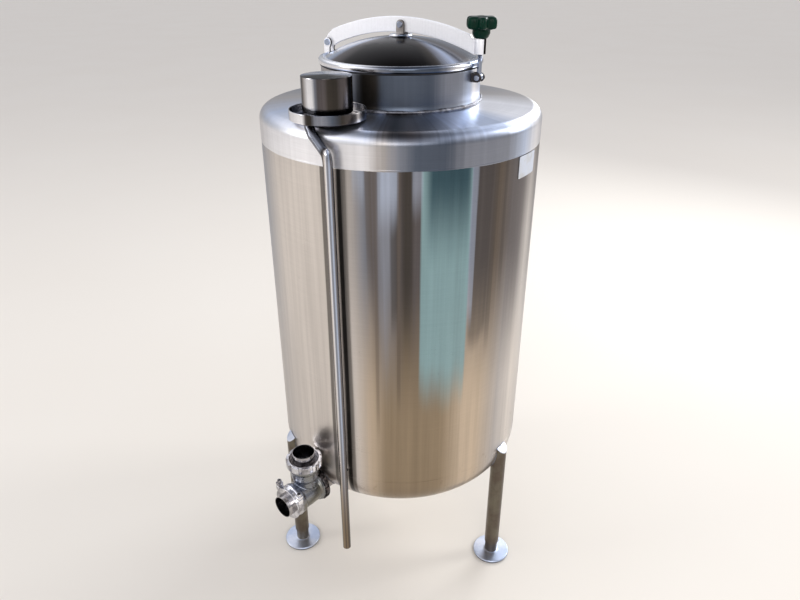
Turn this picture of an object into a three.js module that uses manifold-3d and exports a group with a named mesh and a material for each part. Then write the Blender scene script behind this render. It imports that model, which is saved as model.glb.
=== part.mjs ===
// Upright stainless process tank on three legs, with a hinged manway, a vent
// hood in a drip tray, a drain pipe and a bottom outlet. Millimetres, +Z up.
import * as THREE from 'three';
import * as BufferGeometryUtils from 'three/addons/utils/BufferGeometryUtils.js';
import Module from 'manifold-3d';

const wasm = await Module();
wasm.setup();

// Seat gap between pieces that touch.
const GAP = 0.3;
const ROUND = 72;

// Tank body: radius, wall, seam heights, head shapes.
const SHELL_R = 400;
const WALL = 4;
const SHELL_Z0 = 473;
const SHELL_Z1 = 1450;
const TOP_KNUCKLE_Z = 1506;
const TOP_KNUCKLE_RUN = 34;
const TOP_KNUCKLE_RISE = 33;
const TOP_FACE_Z = 1549;
const BOTTOM_KNUCKLE_Z = 470;
const BOTTOM_KNUCKLE_RUN = 85;
const BOTTOM_KNUCKLE_DROP = 112;
const BOTTOM_CENTRE_Z = 344;

// Manway: neck, lid and the bearing of the clamp beam.
const NECK_R = 222;
const NECK_WALL = 4;
const NECK_TOP_Z = 1641;
const FLARE_R = 229;
const LID_RIM_R = 228;
const LID_RIM_Z0 = 1645;
const LID_RIM_Z1 = 1663;
const LID_APEX_Z = 1712;
const BOSS_R = 30;
const BOSS_Z = 1718;
const MANWAY_AZ = -26;

// Clamp beam: an arched bar on edge between hinge ears and a slotted sleeve.
const BEAM_T = 12;
const BEAM_TOP_Z = 1762;
const BEAM_BOTTOM_Z = 1720;
const BEAM_DROP = 43;
const BEAM_HALF = 228;
const BEAM_END_X = 224.9;
const HINGE_X = -241;
const HINGE_Z = 1684;
const HINGE_PIN_R = 6;
const EAR_T0 = 7.3;
const EAR_T1 = 13.3;
const CENTRE_PIN_X = 4;
const CENTRE_PIN_Z = 1742;
const CENTRE_PIN_R = 5;
const BOLT_X = 239.5;
const BOLT_PIVOT_Z = 1622;
const BOLT_PIN_R = 5;
const LUG_R = 11.5;
const BOLT_R = 6;
const BOLT_TOP_Z = 1752;
const SLEEVE_R = 14;
const SLEEVE_Z0 = 1680;
const SLEEVE_Z1 = 1718.5;
const KNOB_Z0 = 1719;
const KNOB_HEAD_Z = 1742;
const KNOB_Z1 = 1771;
const KNOB_R = 42;
const KNOB_LOBES = 6;

// Vent: pipe, hood and tray share one centre.
const VENT_X = -157;
const VENT_Y = -287;
const VENT_PIPE_R = 30;
const VENT_PIPE_Z1 = 1612;
const HOOD_R = 63;
const HOOD_Z0 = 1566;
const HOOD_Z1 = 1651;
const TRAY_R = 97;
const TRAY_Z0 = 1548.8;
const TRAY_FLOOR = 2.5;
const TRAY_Z1 = 1573;

// Drain pipe from the tray down past the shell.
const DRAIN_R = 12.5;
const DRAIN_WALL = 1.5;
const DRAIN_AXIS_R = 425;
const DRAIN_AZ = -109.4;
const DRAIN_TIP_Z = 195;
const CLIP_Z = 500;

// Legs and feet.
const LEG_ANGLES = [-30, -150, 90];
const LEG_NAMES = ['right', 'left', 'rear'];
const LEG_CIRCLE_R = 396;
const LEG_R = 24.15;
const LEG_WALL = 2.5;
const LEG_Z0 = 52;
const LEG_OUTER_TOP_Z = 458;
const CAP_T = 3;
const SLEEVE_FOOT_R = 21.3;
const FOOT_R = 62;
const FOOT_Z0 = 5;
const FOOT_T = 6;
const PAD_R = 60;

// Bottom outlet: a radial run with an upward branch.
const OUTLET_AZ = -126;
const OUTLET_Z = 397;
const OUTLET_PIPE_R = 35;
const OUTLET_X0 = 328;
const BRANCH_X = 457;
const BRANCH_R = 36;
const BELL_R = 43;
const BODY_R = 51;
const NUT_R = 56;
const BRANCH_NUT_Z0 = 503;
const BRANCH_NUT_Z1 = 530;

// Label plate on the shell.
const LABEL_A0 = -35.1;
const LABEL_A1 = -21.9;
const LABEL_Z0 = 1387;
const LABEL_Z1 = 1446;
const LABEL_T = 1.2;

const STEEL = { color: 0xb9b6b0, roughness: 0.3, metalness: 1.0 };
const SATIN = { color: 0xa9adb6, roughness: 0.42, metalness: 1.0 };
const POLISHED = { color: 0xd4d6da, roughness: 0.16, metalness: 1.0 };
const RUBBER = { color: 0x17171a, roughness: 0.85, metalness: 0.0 };
const KNOB_GREEN = { color: 0x0b4a2c, roughness: 0.45, metalness: 0.0 };
const LABEL_WHITE = { color: 0xf0f0ee, roughness: 0.6, metalness: 0.0 };

const rad = (degrees) => degrees * Math.PI / 180;

// Solids.

function toSolid(geometry) {
  const plain = geometry.index ? geometry.toNonIndexed() : geometry.clone();
  for (const key of Object.keys(plain.attributes)) {
    if (key !== 'position') plain.deleteAttribute(key);
  }
  const merged = BufferGeometryUtils.mergeVertices(plain, 1e-4);
  const index = [];
  for (let i = 0; i < merged.index.count; i += 3) {
    const [a, b, c] = [merged.index.getX(i), merged.index.getX(i + 1), merged.index.getX(i + 2)];
    if (a !== b && b !== c && c !== a) index.push(a, b, c);
  }
  return new wasm.Manifold(new wasm.Mesh({
    numProp: 3,
    vertProperties: new Float32Array(merged.attributes.position.array),
    triVerts: new Uint32Array(index),
  }));
}

function toGeometry(solid) {
  const mesh = solid.getMesh();
  const geometry = new THREE.BufferGeometry();
  geometry.setAttribute('position', new THREE.BufferAttribute(new Float32Array(mesh.vertProperties), 3));
  geometry.setIndex(new THREE.BufferAttribute(new Uint32Array(mesh.triVerts), 1));
  return geometry;
}

// A closed [radius, z] profile turned about Z.
function lathe(profile, segments = ROUND) {
  const points = profile.map(([r, z]) => new THREE.Vector2(r, z));
  const onAxis = profile[0][0] === 0 && profile[profile.length - 1][0] === 0;
  if (!onAxis) points.push(points[0].clone());
  const geometry = new THREE.LatheGeometry(points, segments);
  geometry.rotateX(Math.PI / 2);
  return geometry;
}

function ringProfile(r0, r1, z0, z1) {
  return [[r0, z0], [r1, z0], [r1, z1], [r0, z1]];
}

function rodProfile(r, z0, z1) {
  return [[0, z0], [r, z0], [r, z1], [0, z1]];
}

// A Shape in the local XZ plane, given thickness from y0 to y1.
function plateXZ(shape, y0, y1, curveSegments = 10) {
  const geometry = new THREE.ExtrudeGeometry(shape, {
    depth: y1 - y0, bevelEnabled: false, curveSegments,
  });
  geometry.rotateX(Math.PI / 2);
  geometry.translate(0, y1, 0);
  return geometry;
}

function box(x0, x1, y0, y1, z0, z1) {
  const geometry = new THREE.BoxGeometry(x1 - x0, y1 - y0, z1 - z0);
  geometry.translate((x0 + x1) / 2, (y0 + y1) / 2, (z0 + z1) / 2);
  return geometry;
}

function holeIn(shape, x, z, r) {
  const hole = new THREE.Path();
  hole.absarc(x, z, r, 0, Math.PI * 2, true);
  shape.holes.push(hole);
}

function arcPoints(x, z, r, from, to, steps) {
  return Array.from({ length: steps + 1 }, (_, i) => {
    const a = rad(from + (to - from) * i / steps);
    return new THREE.Vector2(x + r * Math.cos(a), z + r * Math.sin(a));
  });
}

function quarterArc(r0, z0, run, rise, steps = 6) {
  return Array.from({ length: steps + 1 }, (_, i) => {
    const a = Math.PI / 2 * i / steps;
    return [r0 - run + run * Math.cos(a), z0 + rise * Math.sin(a)];
  });
}

// Scene graph.

const tank = new THREE.Group();
const manway = new THREE.Group();
manway.rotation.z = rad(MANWAY_AZ);
const outlet = new THREE.Group();
outlet.rotation.z = rad(OUTLET_AZ);
tank.add(manway, outlet);

function place(parent, name, geometry, look) {
  const plain = geometry.isBufferGeometry ? geometry : toGeometry(geometry);
  const mesh = new THREE.Mesh(plain, new THREE.MeshStandardMaterial(look));
  mesh.name = name;
  parent.add(mesh);
  return mesh;
}

// Tank body.

function topHeadProfile() {
  const outer = [[SHELL_R, SHELL_Z1 + GAP]];
  outer.push(...quarterArc(SHELL_R, TOP_KNUCKLE_Z, TOP_KNUCKLE_RUN, TOP_KNUCKLE_RISE));
  outer.push([NECK_R, TOP_FACE_Z], [NECK_R - NECK_WALL, TOP_FACE_Z]);
  const inner = [[NECK_R - NECK_WALL, TOP_FACE_Z - WALL]];
  const arc = quarterArc(SHELL_R - WALL, TOP_KNUCKLE_Z, TOP_KNUCKLE_RUN - WALL, TOP_KNUCKLE_RISE - WALL);
  inner.push(...arc.reverse());
  inner.push([SHELL_R - WALL, SHELL_Z1 + GAP]);
  return [...outer, ...inner];
}

function bottomHeadOuter(grow = 0) {
  const arc = quarterArc(
    SHELL_R + grow,
    BOTTOM_KNUCKLE_Z,
    BOTTOM_KNUCKLE_RUN + grow,
    -(BOTTOM_KNUCKLE_DROP + grow),
  );
  return [...arc, [0, BOTTOM_CENTRE_Z - grow]];
}

function bottomHeadProfile() {
  const top = SHELL_Z0 - GAP;
  const outer = bottomHeadOuter().reverse();
  const arc = quarterArc(
    SHELL_R - WALL,
    BOTTOM_KNUCKLE_Z,
    BOTTOM_KNUCKLE_RUN - WALL,
    -(BOTTOM_KNUCKLE_DROP - WALL),
  );
  return [...outer, [SHELL_R, top], [SHELL_R - WALL, top], ...arc, [0, BOTTOM_CENTRE_Z + WALL]];
}

// The tank's outside below the top seam, grown or shrunk, for coping.
function tankEnvelope(grow) {
  const outer = bottomHeadOuter(grow).reverse();
  return toSolid(lathe([...outer, [SHELL_R + grow, SHELL_Z1], [0, SHELL_Z1]]));
}

const envelope = tankEnvelope(GAP);

function rodAlongX(r, x0, x1, z, segments = 40) {
  const geometry = lathe(rodProfile(r, x0, x1), segments);
  geometry.rotateY(Math.PI / 2);
  geometry.translate(0, 0, z);
  return geometry;
}

function ringAlongX(profile, z, segments = 40) {
  const geometry = lathe(profile, segments);
  geometry.rotateY(Math.PI / 2);
  geometry.translate(0, 0, z);
  return geometry;
}

function addTankBody() {
  place(tank, 'shell', lathe(ringProfile(SHELL_R - WALL, SHELL_R, SHELL_Z0, SHELL_Z1)), STEEL);
  const ventHole = lathe(rodProfile(VENT_PIPE_R + GAP, 1500, 1600), 40);
  ventHole.translate(VENT_X, VENT_Y, 0);
  const topHead = toSolid(lathe(topHeadProfile())).subtract(toSolid(ventHole));
  place(tank, 'top_head', topHead, SATIN);
  const outletHole = rodAlongX(OUTLET_PIPE_R + GAP, OUTLET_X0, 420, OUTLET_Z);
  outletHole.rotateZ(rad(OUTLET_AZ));
  const bottomHead = toSolid(lathe(bottomHeadProfile())).subtract(toSolid(outletHole));
  place(tank, 'bottom_head', bottomHead, STEEL);
}

// Manway.

function addManwayNeck() {
  const base = TOP_FACE_Z + GAP;
  place(tank, 'manway_neck', lathe([
    [NECK_R - NECK_WALL, base],
    [FLARE_R, base],
    [FLARE_R - 1, base + 3],
    [NECK_R + 1.5, base + 8],
    [NECK_R, base + 12],
    [NECK_R, NECK_TOP_Z],
    [NECK_R - NECK_WALL, NECK_TOP_Z],
  ]), SATIN);
  place(tank, 'lid_gasket', lathe(
    ringProfile(NECK_R - 8, NECK_R + 2, NECK_TOP_Z + GAP, LID_RIM_Z0 - GAP),
  ), RUBBER);
}

function domeZ(r, apex) {
  const edge = 208;
  return LID_RIM_Z1 - 1.5 + (apex - LID_RIM_Z1 + 1.5) * (1 - (r / edge) ** 2);
}

function addLid() {
  const skin = 3;
  const steps = [208, 175, 135, 90, 50];
  const outer = [
    [LID_RIM_R - 16, LID_RIM_Z0],
    [LID_RIM_R - 3, LID_RIM_Z0],
    [LID_RIM_R, LID_RIM_Z0 + 4],
    [LID_RIM_R, LID_RIM_Z0 + 12],
    [LID_RIM_R - 4, LID_RIM_Z1 - 1],
    [LID_RIM_R - 13, LID_RIM_Z1],
    ...steps.map((r) => [r, domeZ(r, LID_APEX_Z)]),
    [BOSS_R + 4, domeZ(BOSS_R + 4, LID_APEX_Z)],
    [BOSS_R, BOSS_Z - 1],
    [BOSS_R - 1, BOSS_Z],
    [0, BOSS_Z],
  ];
  const inner = [
    [0, LID_APEX_Z - skin],
    ...[50, 90, 135, 175, 206].map((r) => [r, domeZ(r, LID_APEX_Z) - skin - 1]),
  ];
  const profile = [...inner, ...outer];
  place(manway, 'lid', lathe(profile), POLISHED);
}

function beamTop(x) {
  return BEAM_TOP_Z - BEAM_DROP * (x / BEAM_HALF) ** 2;
}

function beamBottom(x) {
  return BEAM_BOTTOM_Z - (BEAM_DROP + 1) * (x / BEAM_HALF) ** 2;
}

function addBeam() {
  const top = [];
  for (let x = 205; x >= -226; x -= 23) top.push(new THREE.Vector2(x, beamTop(x)));
  const bottom = [];
  for (let x = -210; x <= 220; x += 22) bottom.push(new THREE.Vector2(x, beamBottom(x)));
  const outline = [
    new THREE.Vector2(BEAM_END_X, beamBottom(BEAM_END_X)),
    new THREE.Vector2(BEAM_END_X, 1714.5),
    new THREE.Vector2(218, 1716),
    new THREE.Vector2(214, 1722),
    ...top,
    new THREE.Vector2(-238, 1709.5),
    new THREE.Vector2(-248, 1700),
    new THREE.Vector2(-253, 1691),
    ...arcPoints(HINGE_X, HINGE_Z, 12.8, 175, 285, 6),
    new THREE.Vector2(-224, 1675),
    ...bottom,
  ];
  const shape = new THREE.Shape(outline);
  holeIn(shape, HINGE_X, HINGE_Z, HINGE_PIN_R + GAP);
  holeIn(shape, CENTRE_PIN_X, CENTRE_PIN_Z, CENTRE_PIN_R + GAP);
  place(manway, 'lid_beam', plateXZ(shape, -BEAM_T / 2, BEAM_T / 2), POLISHED);
}

// A pin along local Y with a wider head at each end, both in one turned piece.
function pinAlongY(x, z, r, half, headR, headT) {
  const geometry = lathe([
    [0, -half - headT],
    [headR, -half - headT],
    [headR, -half],
    [r, -half],
    [r, half],
    [headR, half],
    [headR, half + headT],
    [0, half + headT],
  ], 20);
  geometry.rotateX(Math.PI / 2);
  geometry.translate(x, 0, z);
  return geometry;
}

function addPair(name, makeShape, t0, t1, look) {
  place(manway, `${name}_front`, plateXZ(makeShape(), -t1, -t0), look);
  place(manway, `${name}_rear`, plateXZ(makeShape(), t0, t1), look);
}

function hingeEarShape() {
  const shape = new THREE.Shape([
    ...arcPoints(HINGE_X, HINGE_Z, 12.8, -25, 190, 12),
    new THREE.Vector2(-253, 1640),
    new THREE.Vector2(-238, 1580),
    new THREE.Vector2(-222.15, 1572),
    new THREE.Vector2(-222.15, 1632),
    new THREE.Vector2(-234, 1642),
    new THREE.Vector2(-234, 1668),
  ]);
  holeIn(shape, HINGE_X, HINGE_Z, HINGE_PIN_R + GAP);
  return shape;
}

function lugShape() {
  const shape = new THREE.Shape([
    new THREE.Vector2(222.15, BOLT_PIVOT_Z - LUG_R),
    ...arcPoints(BOLT_X, BOLT_PIVOT_Z, LUG_R, -90, 90, 10),
    new THREE.Vector2(222.15, BOLT_PIVOT_Z + LUG_R),
  ]);
  holeIn(shape, BOLT_X, BOLT_PIVOT_Z, BOLT_PIN_R + GAP);
  return shape;
}

function centreEarShape() {
  const half = 12;
  const shape = new THREE.Shape([
    new THREE.Vector2(CENTRE_PIN_X - half, BOSS_Z + GAP),
    new THREE.Vector2(CENTRE_PIN_X + half, BOSS_Z + GAP),
    ...arcPoints(CENTRE_PIN_X, CENTRE_PIN_Z, half, 0, 180, 10),
  ]);
  holeIn(shape, CENTRE_PIN_X, CENTRE_PIN_Z, CENTRE_PIN_R + GAP);
  return shape;
}

function addBeamFittings() {
  addPair('hinge_ear', hingeEarShape, EAR_T0, EAR_T1, STEEL);
  place(manway, 'hinge_pin', pinAlongY(HINGE_X, HINGE_Z, HINGE_PIN_R, EAR_T1 + GAP, 9, 3), STEEL);
  addPair('centre_ear', centreEarShape, EAR_T0, EAR_T1 - 1, STEEL);
  place(
    manway,
    'centre_pin',
    pinAlongY(CENTRE_PIN_X, CENTRE_PIN_Z, CENTRE_PIN_R, EAR_T1 - 1 + GAP, 8, 4),
    STEEL,
  );
  addPair('bolt_lug', lugShape, EAR_T0, EAR_T1, STEEL);
  place(
    manway,
    'bolt_pin',
    pinAlongY(BOLT_X, BOLT_PIVOT_Z, BOLT_PIN_R, EAR_T1 + GAP, 8.5, 4),
    STEEL,
  );
}

function addClampSleeve() {
  const ring = lathe(ringProfile(BOLT_R + 0.8, SLEEVE_R, SLEEVE_Z0, SLEEVE_Z1), 32);
  ring.translate(BOLT_X, 0, 0);
  const slot = box(BOLT_X, BOLT_X + 20, -BOLT_R - 0.8, BOLT_R + 0.8, 1670, 1730);
  const wedge = new THREE.Shape([
    new THREE.Vector2(BOLT_X, SLEEVE_Z1),
    new THREE.Vector2(BOLT_X + 20, SLEEVE_Z1 - 1.9),
    new THREE.Vector2(BOLT_X + 20, SLEEVE_Z1 + 5),
    new THREE.Vector2(BOLT_X, SLEEVE_Z1 + 5),
  ]);
  const sleeve = toSolid(ring).subtract(toSolid(slot)).subtract(toSolid(plateXZ(wedge, -20, 20)));
  place(manway, 'clamp_sleeve', sleeve, POLISHED);
}

function addSwingBolt() {
  const mouth = BOLT_PIN_R + GAP;
  const eye = new THREE.Shape([
    ...arcPoints(BOLT_X, BOLT_PIVOT_Z, 10.5, -20, 200, 14),
    new THREE.Vector2(BOLT_X - mouth - 1.4, BOLT_PIVOT_Z - 5.4),
    ...arcPoints(BOLT_X, BOLT_PIVOT_Z, mouth, 180, 0, 10),
    new THREE.Vector2(BOLT_X + mouth + 0.4, BOLT_PIVOT_Z - 5.4),
  ]);
  const shank = lathe(rodProfile(BOLT_R, BOLT_PIVOT_Z + 8.5, BOLT_TOP_Z), 24);
  shank.translate(BOLT_X, 0, 0);
  const bolt = toSolid(plateXZ(eye, -BOLT_R, BOLT_R, 12)).add(toSolid(shank));
  place(manway, 'swing_bolt', bolt, POLISHED);
}

function addKnob() {
  const star = new THREE.Shape();
  const steps = 48;
  for (let i = 0; i < steps; i += 1) {
    const a = Math.PI * 2 * i / steps;
    const r = KNOB_R - 6 + 6 * Math.cos(KNOB_LOBES * a);
    if (i === 0) star.moveTo(r, 0);
    else star.lineTo(r * Math.cos(a), r * Math.sin(a));
  }
  star.closePath();
  const bevel = 5;
  const head = new THREE.ExtrudeGeometry(star, {
    depth: KNOB_Z1 - KNOB_HEAD_Z - 2 * bevel,
    bevelEnabled: true,
    bevelThickness: bevel,
    bevelSize: bevel,
    bevelOffset: -bevel,
    bevelSegments: 2,
  });
  head.translate(0, 0, KNOB_HEAD_Z + bevel);
  const hub = lathe([
    [0, KNOB_Z0],
    [18, KNOB_Z0],
    [19.5, KNOB_Z0 + 2],
    [24, KNOB_HEAD_Z + 4],
    [0, KNOB_HEAD_Z + 4],
  ], 40);
  const bore = lathe(rodProfile(BOLT_R + 0.4, KNOB_Z0 - 5, BOLT_TOP_Z + 1), 24);
  const knob = toSolid(head).add(toSolid(hub)).subtract(toSolid(bore));
  const mesh = place(manway, 'star_knob', knob, KNOB_GREEN);
  mesh.position.x = BOLT_X;
}

// Vent and drain.

function addVent() {
  const vent = new THREE.Group();
  vent.position.set(VENT_X, VENT_Y, 0);
  tank.add(vent);
  place(vent, 'vent_pipe', lathe(
    ringProfile(VENT_PIPE_R - 2, VENT_PIPE_R, 1534, VENT_PIPE_Z1), 40,
  ), STEEL);
  place(vent, 'drip_tray', lathe([
    [VENT_PIPE_R + GAP, TRAY_Z0],
    [TRAY_R - 1.5, TRAY_Z0],
    [TRAY_R, TRAY_Z0 + 1.5],
    [TRAY_R, TRAY_Z1],
    [TRAY_R - 2.5, TRAY_Z1],
    [TRAY_R - 2.5, TRAY_Z0 + TRAY_FLOOR],
    [VENT_PIPE_R + GAP, TRAY_Z0 + TRAY_FLOOR],
  ], 52), POLISHED);
  const skin = 2;
  const hood = lathe([
    [0, HOOD_Z1],
    [0, HOOD_Z1 + skin],
    [HOOD_R * 0.5, HOOD_Z1 + skin - 1],
    [HOOD_R - 4, HOOD_Z1 + skin - 4],
    [HOOD_R, HOOD_Z1 - 6],
    [HOOD_R, HOOD_Z0],
    [HOOD_R - skin, HOOD_Z0],
    [HOOD_R - skin, HOOD_Z1 - 7],
    [HOOD_R - 6, HOOD_Z1 - 4],
    [HOOD_R * 0.5, HOOD_Z1 - 1],
  ].reverse(), 52);
  let solid = toSolid(hood);
  for (let i = 0; i < 3; i += 1) {
    const foot = box(HOOD_R - 8, HOOD_R - 0.6, -4, 4, TRAY_Z0 + TRAY_FLOOR + GAP, HOOD_Z0 + 14);
    foot.rotateZ(rad(60 + 120 * i));
    solid = solid.add(toSolid(foot));
  }
  place(vent, 'vent_hood', solid, POLISHED);
}

function addDrain() {
  const a = rad(DRAIN_AZ);
  const x = DRAIN_AXIS_R * Math.cos(a);
  const y = DRAIN_AXIS_R * Math.sin(a);
  const path = new THREE.CurvePath();
  const top = new THREE.Vector3(-192, -352, TRAY_Z0 - GAP);
  const neck = new THREE.Vector3(-191, -356, 1537);
  const slantTop = new THREE.Vector3(-182, -370, 1526);
  const slantEnd = new THREE.Vector3(-146, -399, 1489);
  const elbow = new THREE.Vector3(x, y, 1478);
  const straight = new THREE.Vector3(x, y, 1455);
  path.add(new THREE.QuadraticBezierCurve3(top, neck, slantTop));
  path.add(new THREE.LineCurve3(slantTop, slantEnd));
  path.add(new THREE.QuadraticBezierCurve3(slantEnd, elbow, straight));
  path.add(new THREE.LineCurve3(straight, new THREE.Vector3(x, y, DRAIN_TIP_Z)));
  const section = new THREE.Shape();
  section.absarc(0, 0, DRAIN_R, 0, Math.PI * 2, false);
  holeIn(section, 0, 0, DRAIN_R - DRAIN_WALL);
  const pipe = new THREE.ExtrudeGeometry(section, { steps: 48, extrudePath: path, curveSegments: 5 });
  const trimTop = box(-400, 0, -500, -200, TRAY_Z0 - GAP, 1600);
  place(tank, 'drain_pipe', toSolid(pipe).subtract(toSolid(trimTop)), STEEL);
  const clip = rodAlongX(5, SHELL_R + GAP, DRAIN_AXIS_R - DRAIN_R - GAP, CLIP_Z, 16);
  clip.rotateZ(a);
  place(tank, 'drain_clip', clip, STEEL);
}

// Legs.

function addLegs() {
  LEG_ANGLES.forEach((angle, i) => {
    const name = LEG_NAMES[i];
    const a = rad(angle);
    const cx = LEG_CIRCLE_R * Math.cos(a);
    const cy = LEG_CIRCLE_R * Math.sin(a);
    const slopeCut = (zShift, thick) => {
      const cut = box(-400, 400, -60, 60, 0, thick);
      cut.rotateY(rad(44));
      cut.translate(LEG_CIRCLE_R + LEG_R, 0, LEG_OUTER_TOP_Z + zShift);
      cut.rotateZ(a);
      return toSolid(cut);
    };
    const tube = lathe(ringProfile(LEG_R - LEG_WALL, LEG_R, LEG_Z0, 600), 28);
    tube.translate(cx, cy, 0);
    const leg = toSolid(tube).subtract(slopeCut(0, 300)).subtract(envelope);
    place(tank, `leg_${name}`, leg, SATIN);
    const plug = lathe(rodProfile(LEG_R, 300, 600), 28);
    plug.translate(cx, cy, 0);
    const cap = toSolid(plug).intersect(slopeCut(0.45, CAP_T)).subtract(envelope);
    place(tank, `leg_cap_${name}`, cap, POLISHED);
    const post = lathe([
      [0, FOOT_Z0 + FOOT_T + GAP],
      [SLEEVE_FOOT_R, FOOT_Z0 + FOOT_T + GAP],
      [SLEEVE_FOOT_R, LEG_Z0 + 45],
      [0, LEG_Z0 + 45],
    ], 24);
    post.translate(cx, cy, 0);
    place(tank, `foot_post_${name}`, post, SATIN);
    const plate = lathe([
      [0, FOOT_Z0],
      [FOOT_R, FOOT_Z0],
      [FOOT_R, FOOT_Z0 + FOOT_T - 1.5],
      [FOOT_R - 1.5, FOOT_Z0 + FOOT_T],
      [0, FOOT_Z0 + FOOT_T],
    ], 36);
    plate.translate(cx, cy, 0);
    place(tank, `foot_plate_${name}`, plate, POLISHED);
    const pad = lathe(rodProfile(PAD_R, 0, FOOT_Z0 - GAP), 36);
    pad.translate(cx, cy, 0);
    place(tank, `foot_pad_${name}`, pad, RUBBER);
  });
}

// Bottom outlet.

function addOutlet() {
  const stub = ringAlongX(ringProfile(OUTLET_PIPE_R - 2, OUTLET_PIPE_R, OUTLET_X0 + 2, 405), OUTLET_Z);
  place(outlet, 'outlet_nozzle', toSolid(stub).subtract(tankEnvelope(-WALL)), STEEL);
  place(outlet, 'outlet_nut', slottedNut(401, 420.5, OUTLET_PIPE_R + GAP), STEEL);
  const run = rodAlongX(BODY_R, 420.8, 512, OUTLET_Z, 40);
  const branch = lathe([
    [0, OUTLET_Z],
    [BRANCH_R, OUTLET_Z],
    [BRANCH_R, OUTLET_Z + NUT_R + 1],
    [BELL_R, OUTLET_Z + NUT_R + 8],
    [BELL_R, BRANCH_NUT_Z0 - 14],
    [BODY_R - 2, BRANCH_NUT_Z0 - 8],
    [BODY_R - 2, BRANCH_NUT_Z0 - GAP],
    [0, BRANCH_NUT_Z0 - GAP],
  ], 40);
  branch.translate(BRANCH_X, 0, 0);
  const runBore = rodAlongX(OUTLET_PIPE_R - 2, 400, 600, OUTLET_Z, 32);
  const branchBore = lathe(rodProfile(OUTLET_PIPE_R - 2, OUTLET_Z, 600), 32);
  branchBore.translate(BRANCH_X, 0, 0);
  const body = toSolid(run).add(toSolid(branch)).subtract(toSolid(runBore)).subtract(toSolid(branchBore));
  place(outlet, 'outlet_body', body, STEEL);
  const nut = slottedNut(BRANCH_NUT_Z0, BRANCH_NUT_Z1, OUTLET_PIPE_R + 9);
  nut.translate(0, 0, -OUTLET_Z);
  nut.rotateY(-Math.PI / 2);
  nut.translate(BRANCH_X, 0, 0);
  place(outlet, 'branch_nut', nut, STEEL);
  const liner = lathe([
    [OUTLET_PIPE_R - 2, BRANCH_NUT_Z0],
    [OUTLET_PIPE_R + 8.7, BRANCH_NUT_Z0],
    [OUTLET_PIPE_R + 8.7, BRANCH_NUT_Z0 + 8],
    [OUTLET_PIPE_R, BRANCH_NUT_Z0 + 12],
    [OUTLET_PIPE_R, BRANCH_NUT_Z1 + 22],
    [OUTLET_PIPE_R - 2, BRANCH_NUT_Z1 + 22],
  ], 32);
  liner.translate(BRANCH_X, 0, 0);
  place(outlet, 'branch_liner', liner, STEEL);
  const clamp = ringAlongX(ringProfile(OUTLET_PIPE_R + GAP, NUT_R - 4, 512.3, 536), OUTLET_Z, 32);
  let clampRing = toSolid(clamp);
  for (const side of [-1, 1]) {
    const lug = box(515, 533, side * 46 - 9, side * 46 + 9, OUTLET_Z + 24, OUTLET_Z + 60);
    clampRing = clampRing.add(toSolid(lug));
  }
  place(outlet, 'run_clamp', clampRing, STEEL);
  const runLiner = ringAlongX([
    [OUTLET_PIPE_R - 2, 512.3],
    [OUTLET_PIPE_R, 512.3],
    [OUTLET_PIPE_R, 556],
    [OUTLET_PIPE_R - 2, 556],
  ], OUTLET_Z, 32);
  place(outlet, 'run_liner', runLiner, STEEL);
}

// A round union nut along local X with slots for a hook wrench.
function slottedNut(x0, x1, bore) {
  const mid = (x0 + x1) / 2;
  const ring = ringAlongX([
    [bore, x0],
    [NUT_R - 6, x0],
    [NUT_R, x0 + 8],
    [NUT_R, x1 - 1.5],
    [NUT_R - 1.5, x1],
    [bore, x1],
  ], OUTLET_Z, 36);
  let solid = toSolid(ring);
  for (let i = 0; i < 6; i += 1) {
    const slot = box(mid - 2, x1 + 1, -4.5, 4.5, NUT_R - 5, NUT_R + 5);
    slot.rotateX(rad(60 * i));
    slot.translate(0, 0, OUTLET_Z);
    solid = solid.subtract(toSolid(slot));
  }
  return toGeometry(solid);
}

// Label.

function addLabel() {
  const shape = new THREE.Shape();
  const r = SHELL_R + GAP;
  shape.absarc(0, 0, r + LABEL_T, rad(LABEL_A0), rad(LABEL_A1), false);
  shape.absarc(0, 0, r, rad(LABEL_A1), rad(LABEL_A0), true);
  const plate = new THREE.ExtrudeGeometry(shape, {
    depth: LABEL_Z1 - LABEL_Z0, bevelEnabled: false, curveSegments: 10,
  });
  plate.translate(0, 0, LABEL_Z0);
  place(tank, 'label_plate', plate, LABEL_WHITE);
}

addTankBody();
addManwayNeck();
addLid();
addBeam();
addBeamFittings();
addClampSleeve();
addSwingBolt();
addKnob();
addVent();
addDrain();
addLegs();
addOutlet();
addLabel();

// The floor under the middle of the whole part becomes the origin.
const extent = new THREE.Box3().setFromObject(tank);
tank.position.set(-(extent.min.x + extent.max.x) / 2, -(extent.min.y + extent.max.y) / 2, -extent.min.z);
const group = new THREE.Group();
group.add(tank);

export default group;
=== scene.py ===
"""Looks for an upright stainless process tank on three legs.

Every visible piece is a surface worked out with numpy in millimetres and put
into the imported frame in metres. Each sub-assembly is a class that holds its
sizes and builds its pieces, and each finish is a frozen dataclass that writes
its own shader.
"""

from __future__ import annotations

import logging
import math
from abc import ABC, abstractmethod
from dataclasses import dataclass, field
from enum import Enum
from typing import Callable, Sequence

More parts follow.
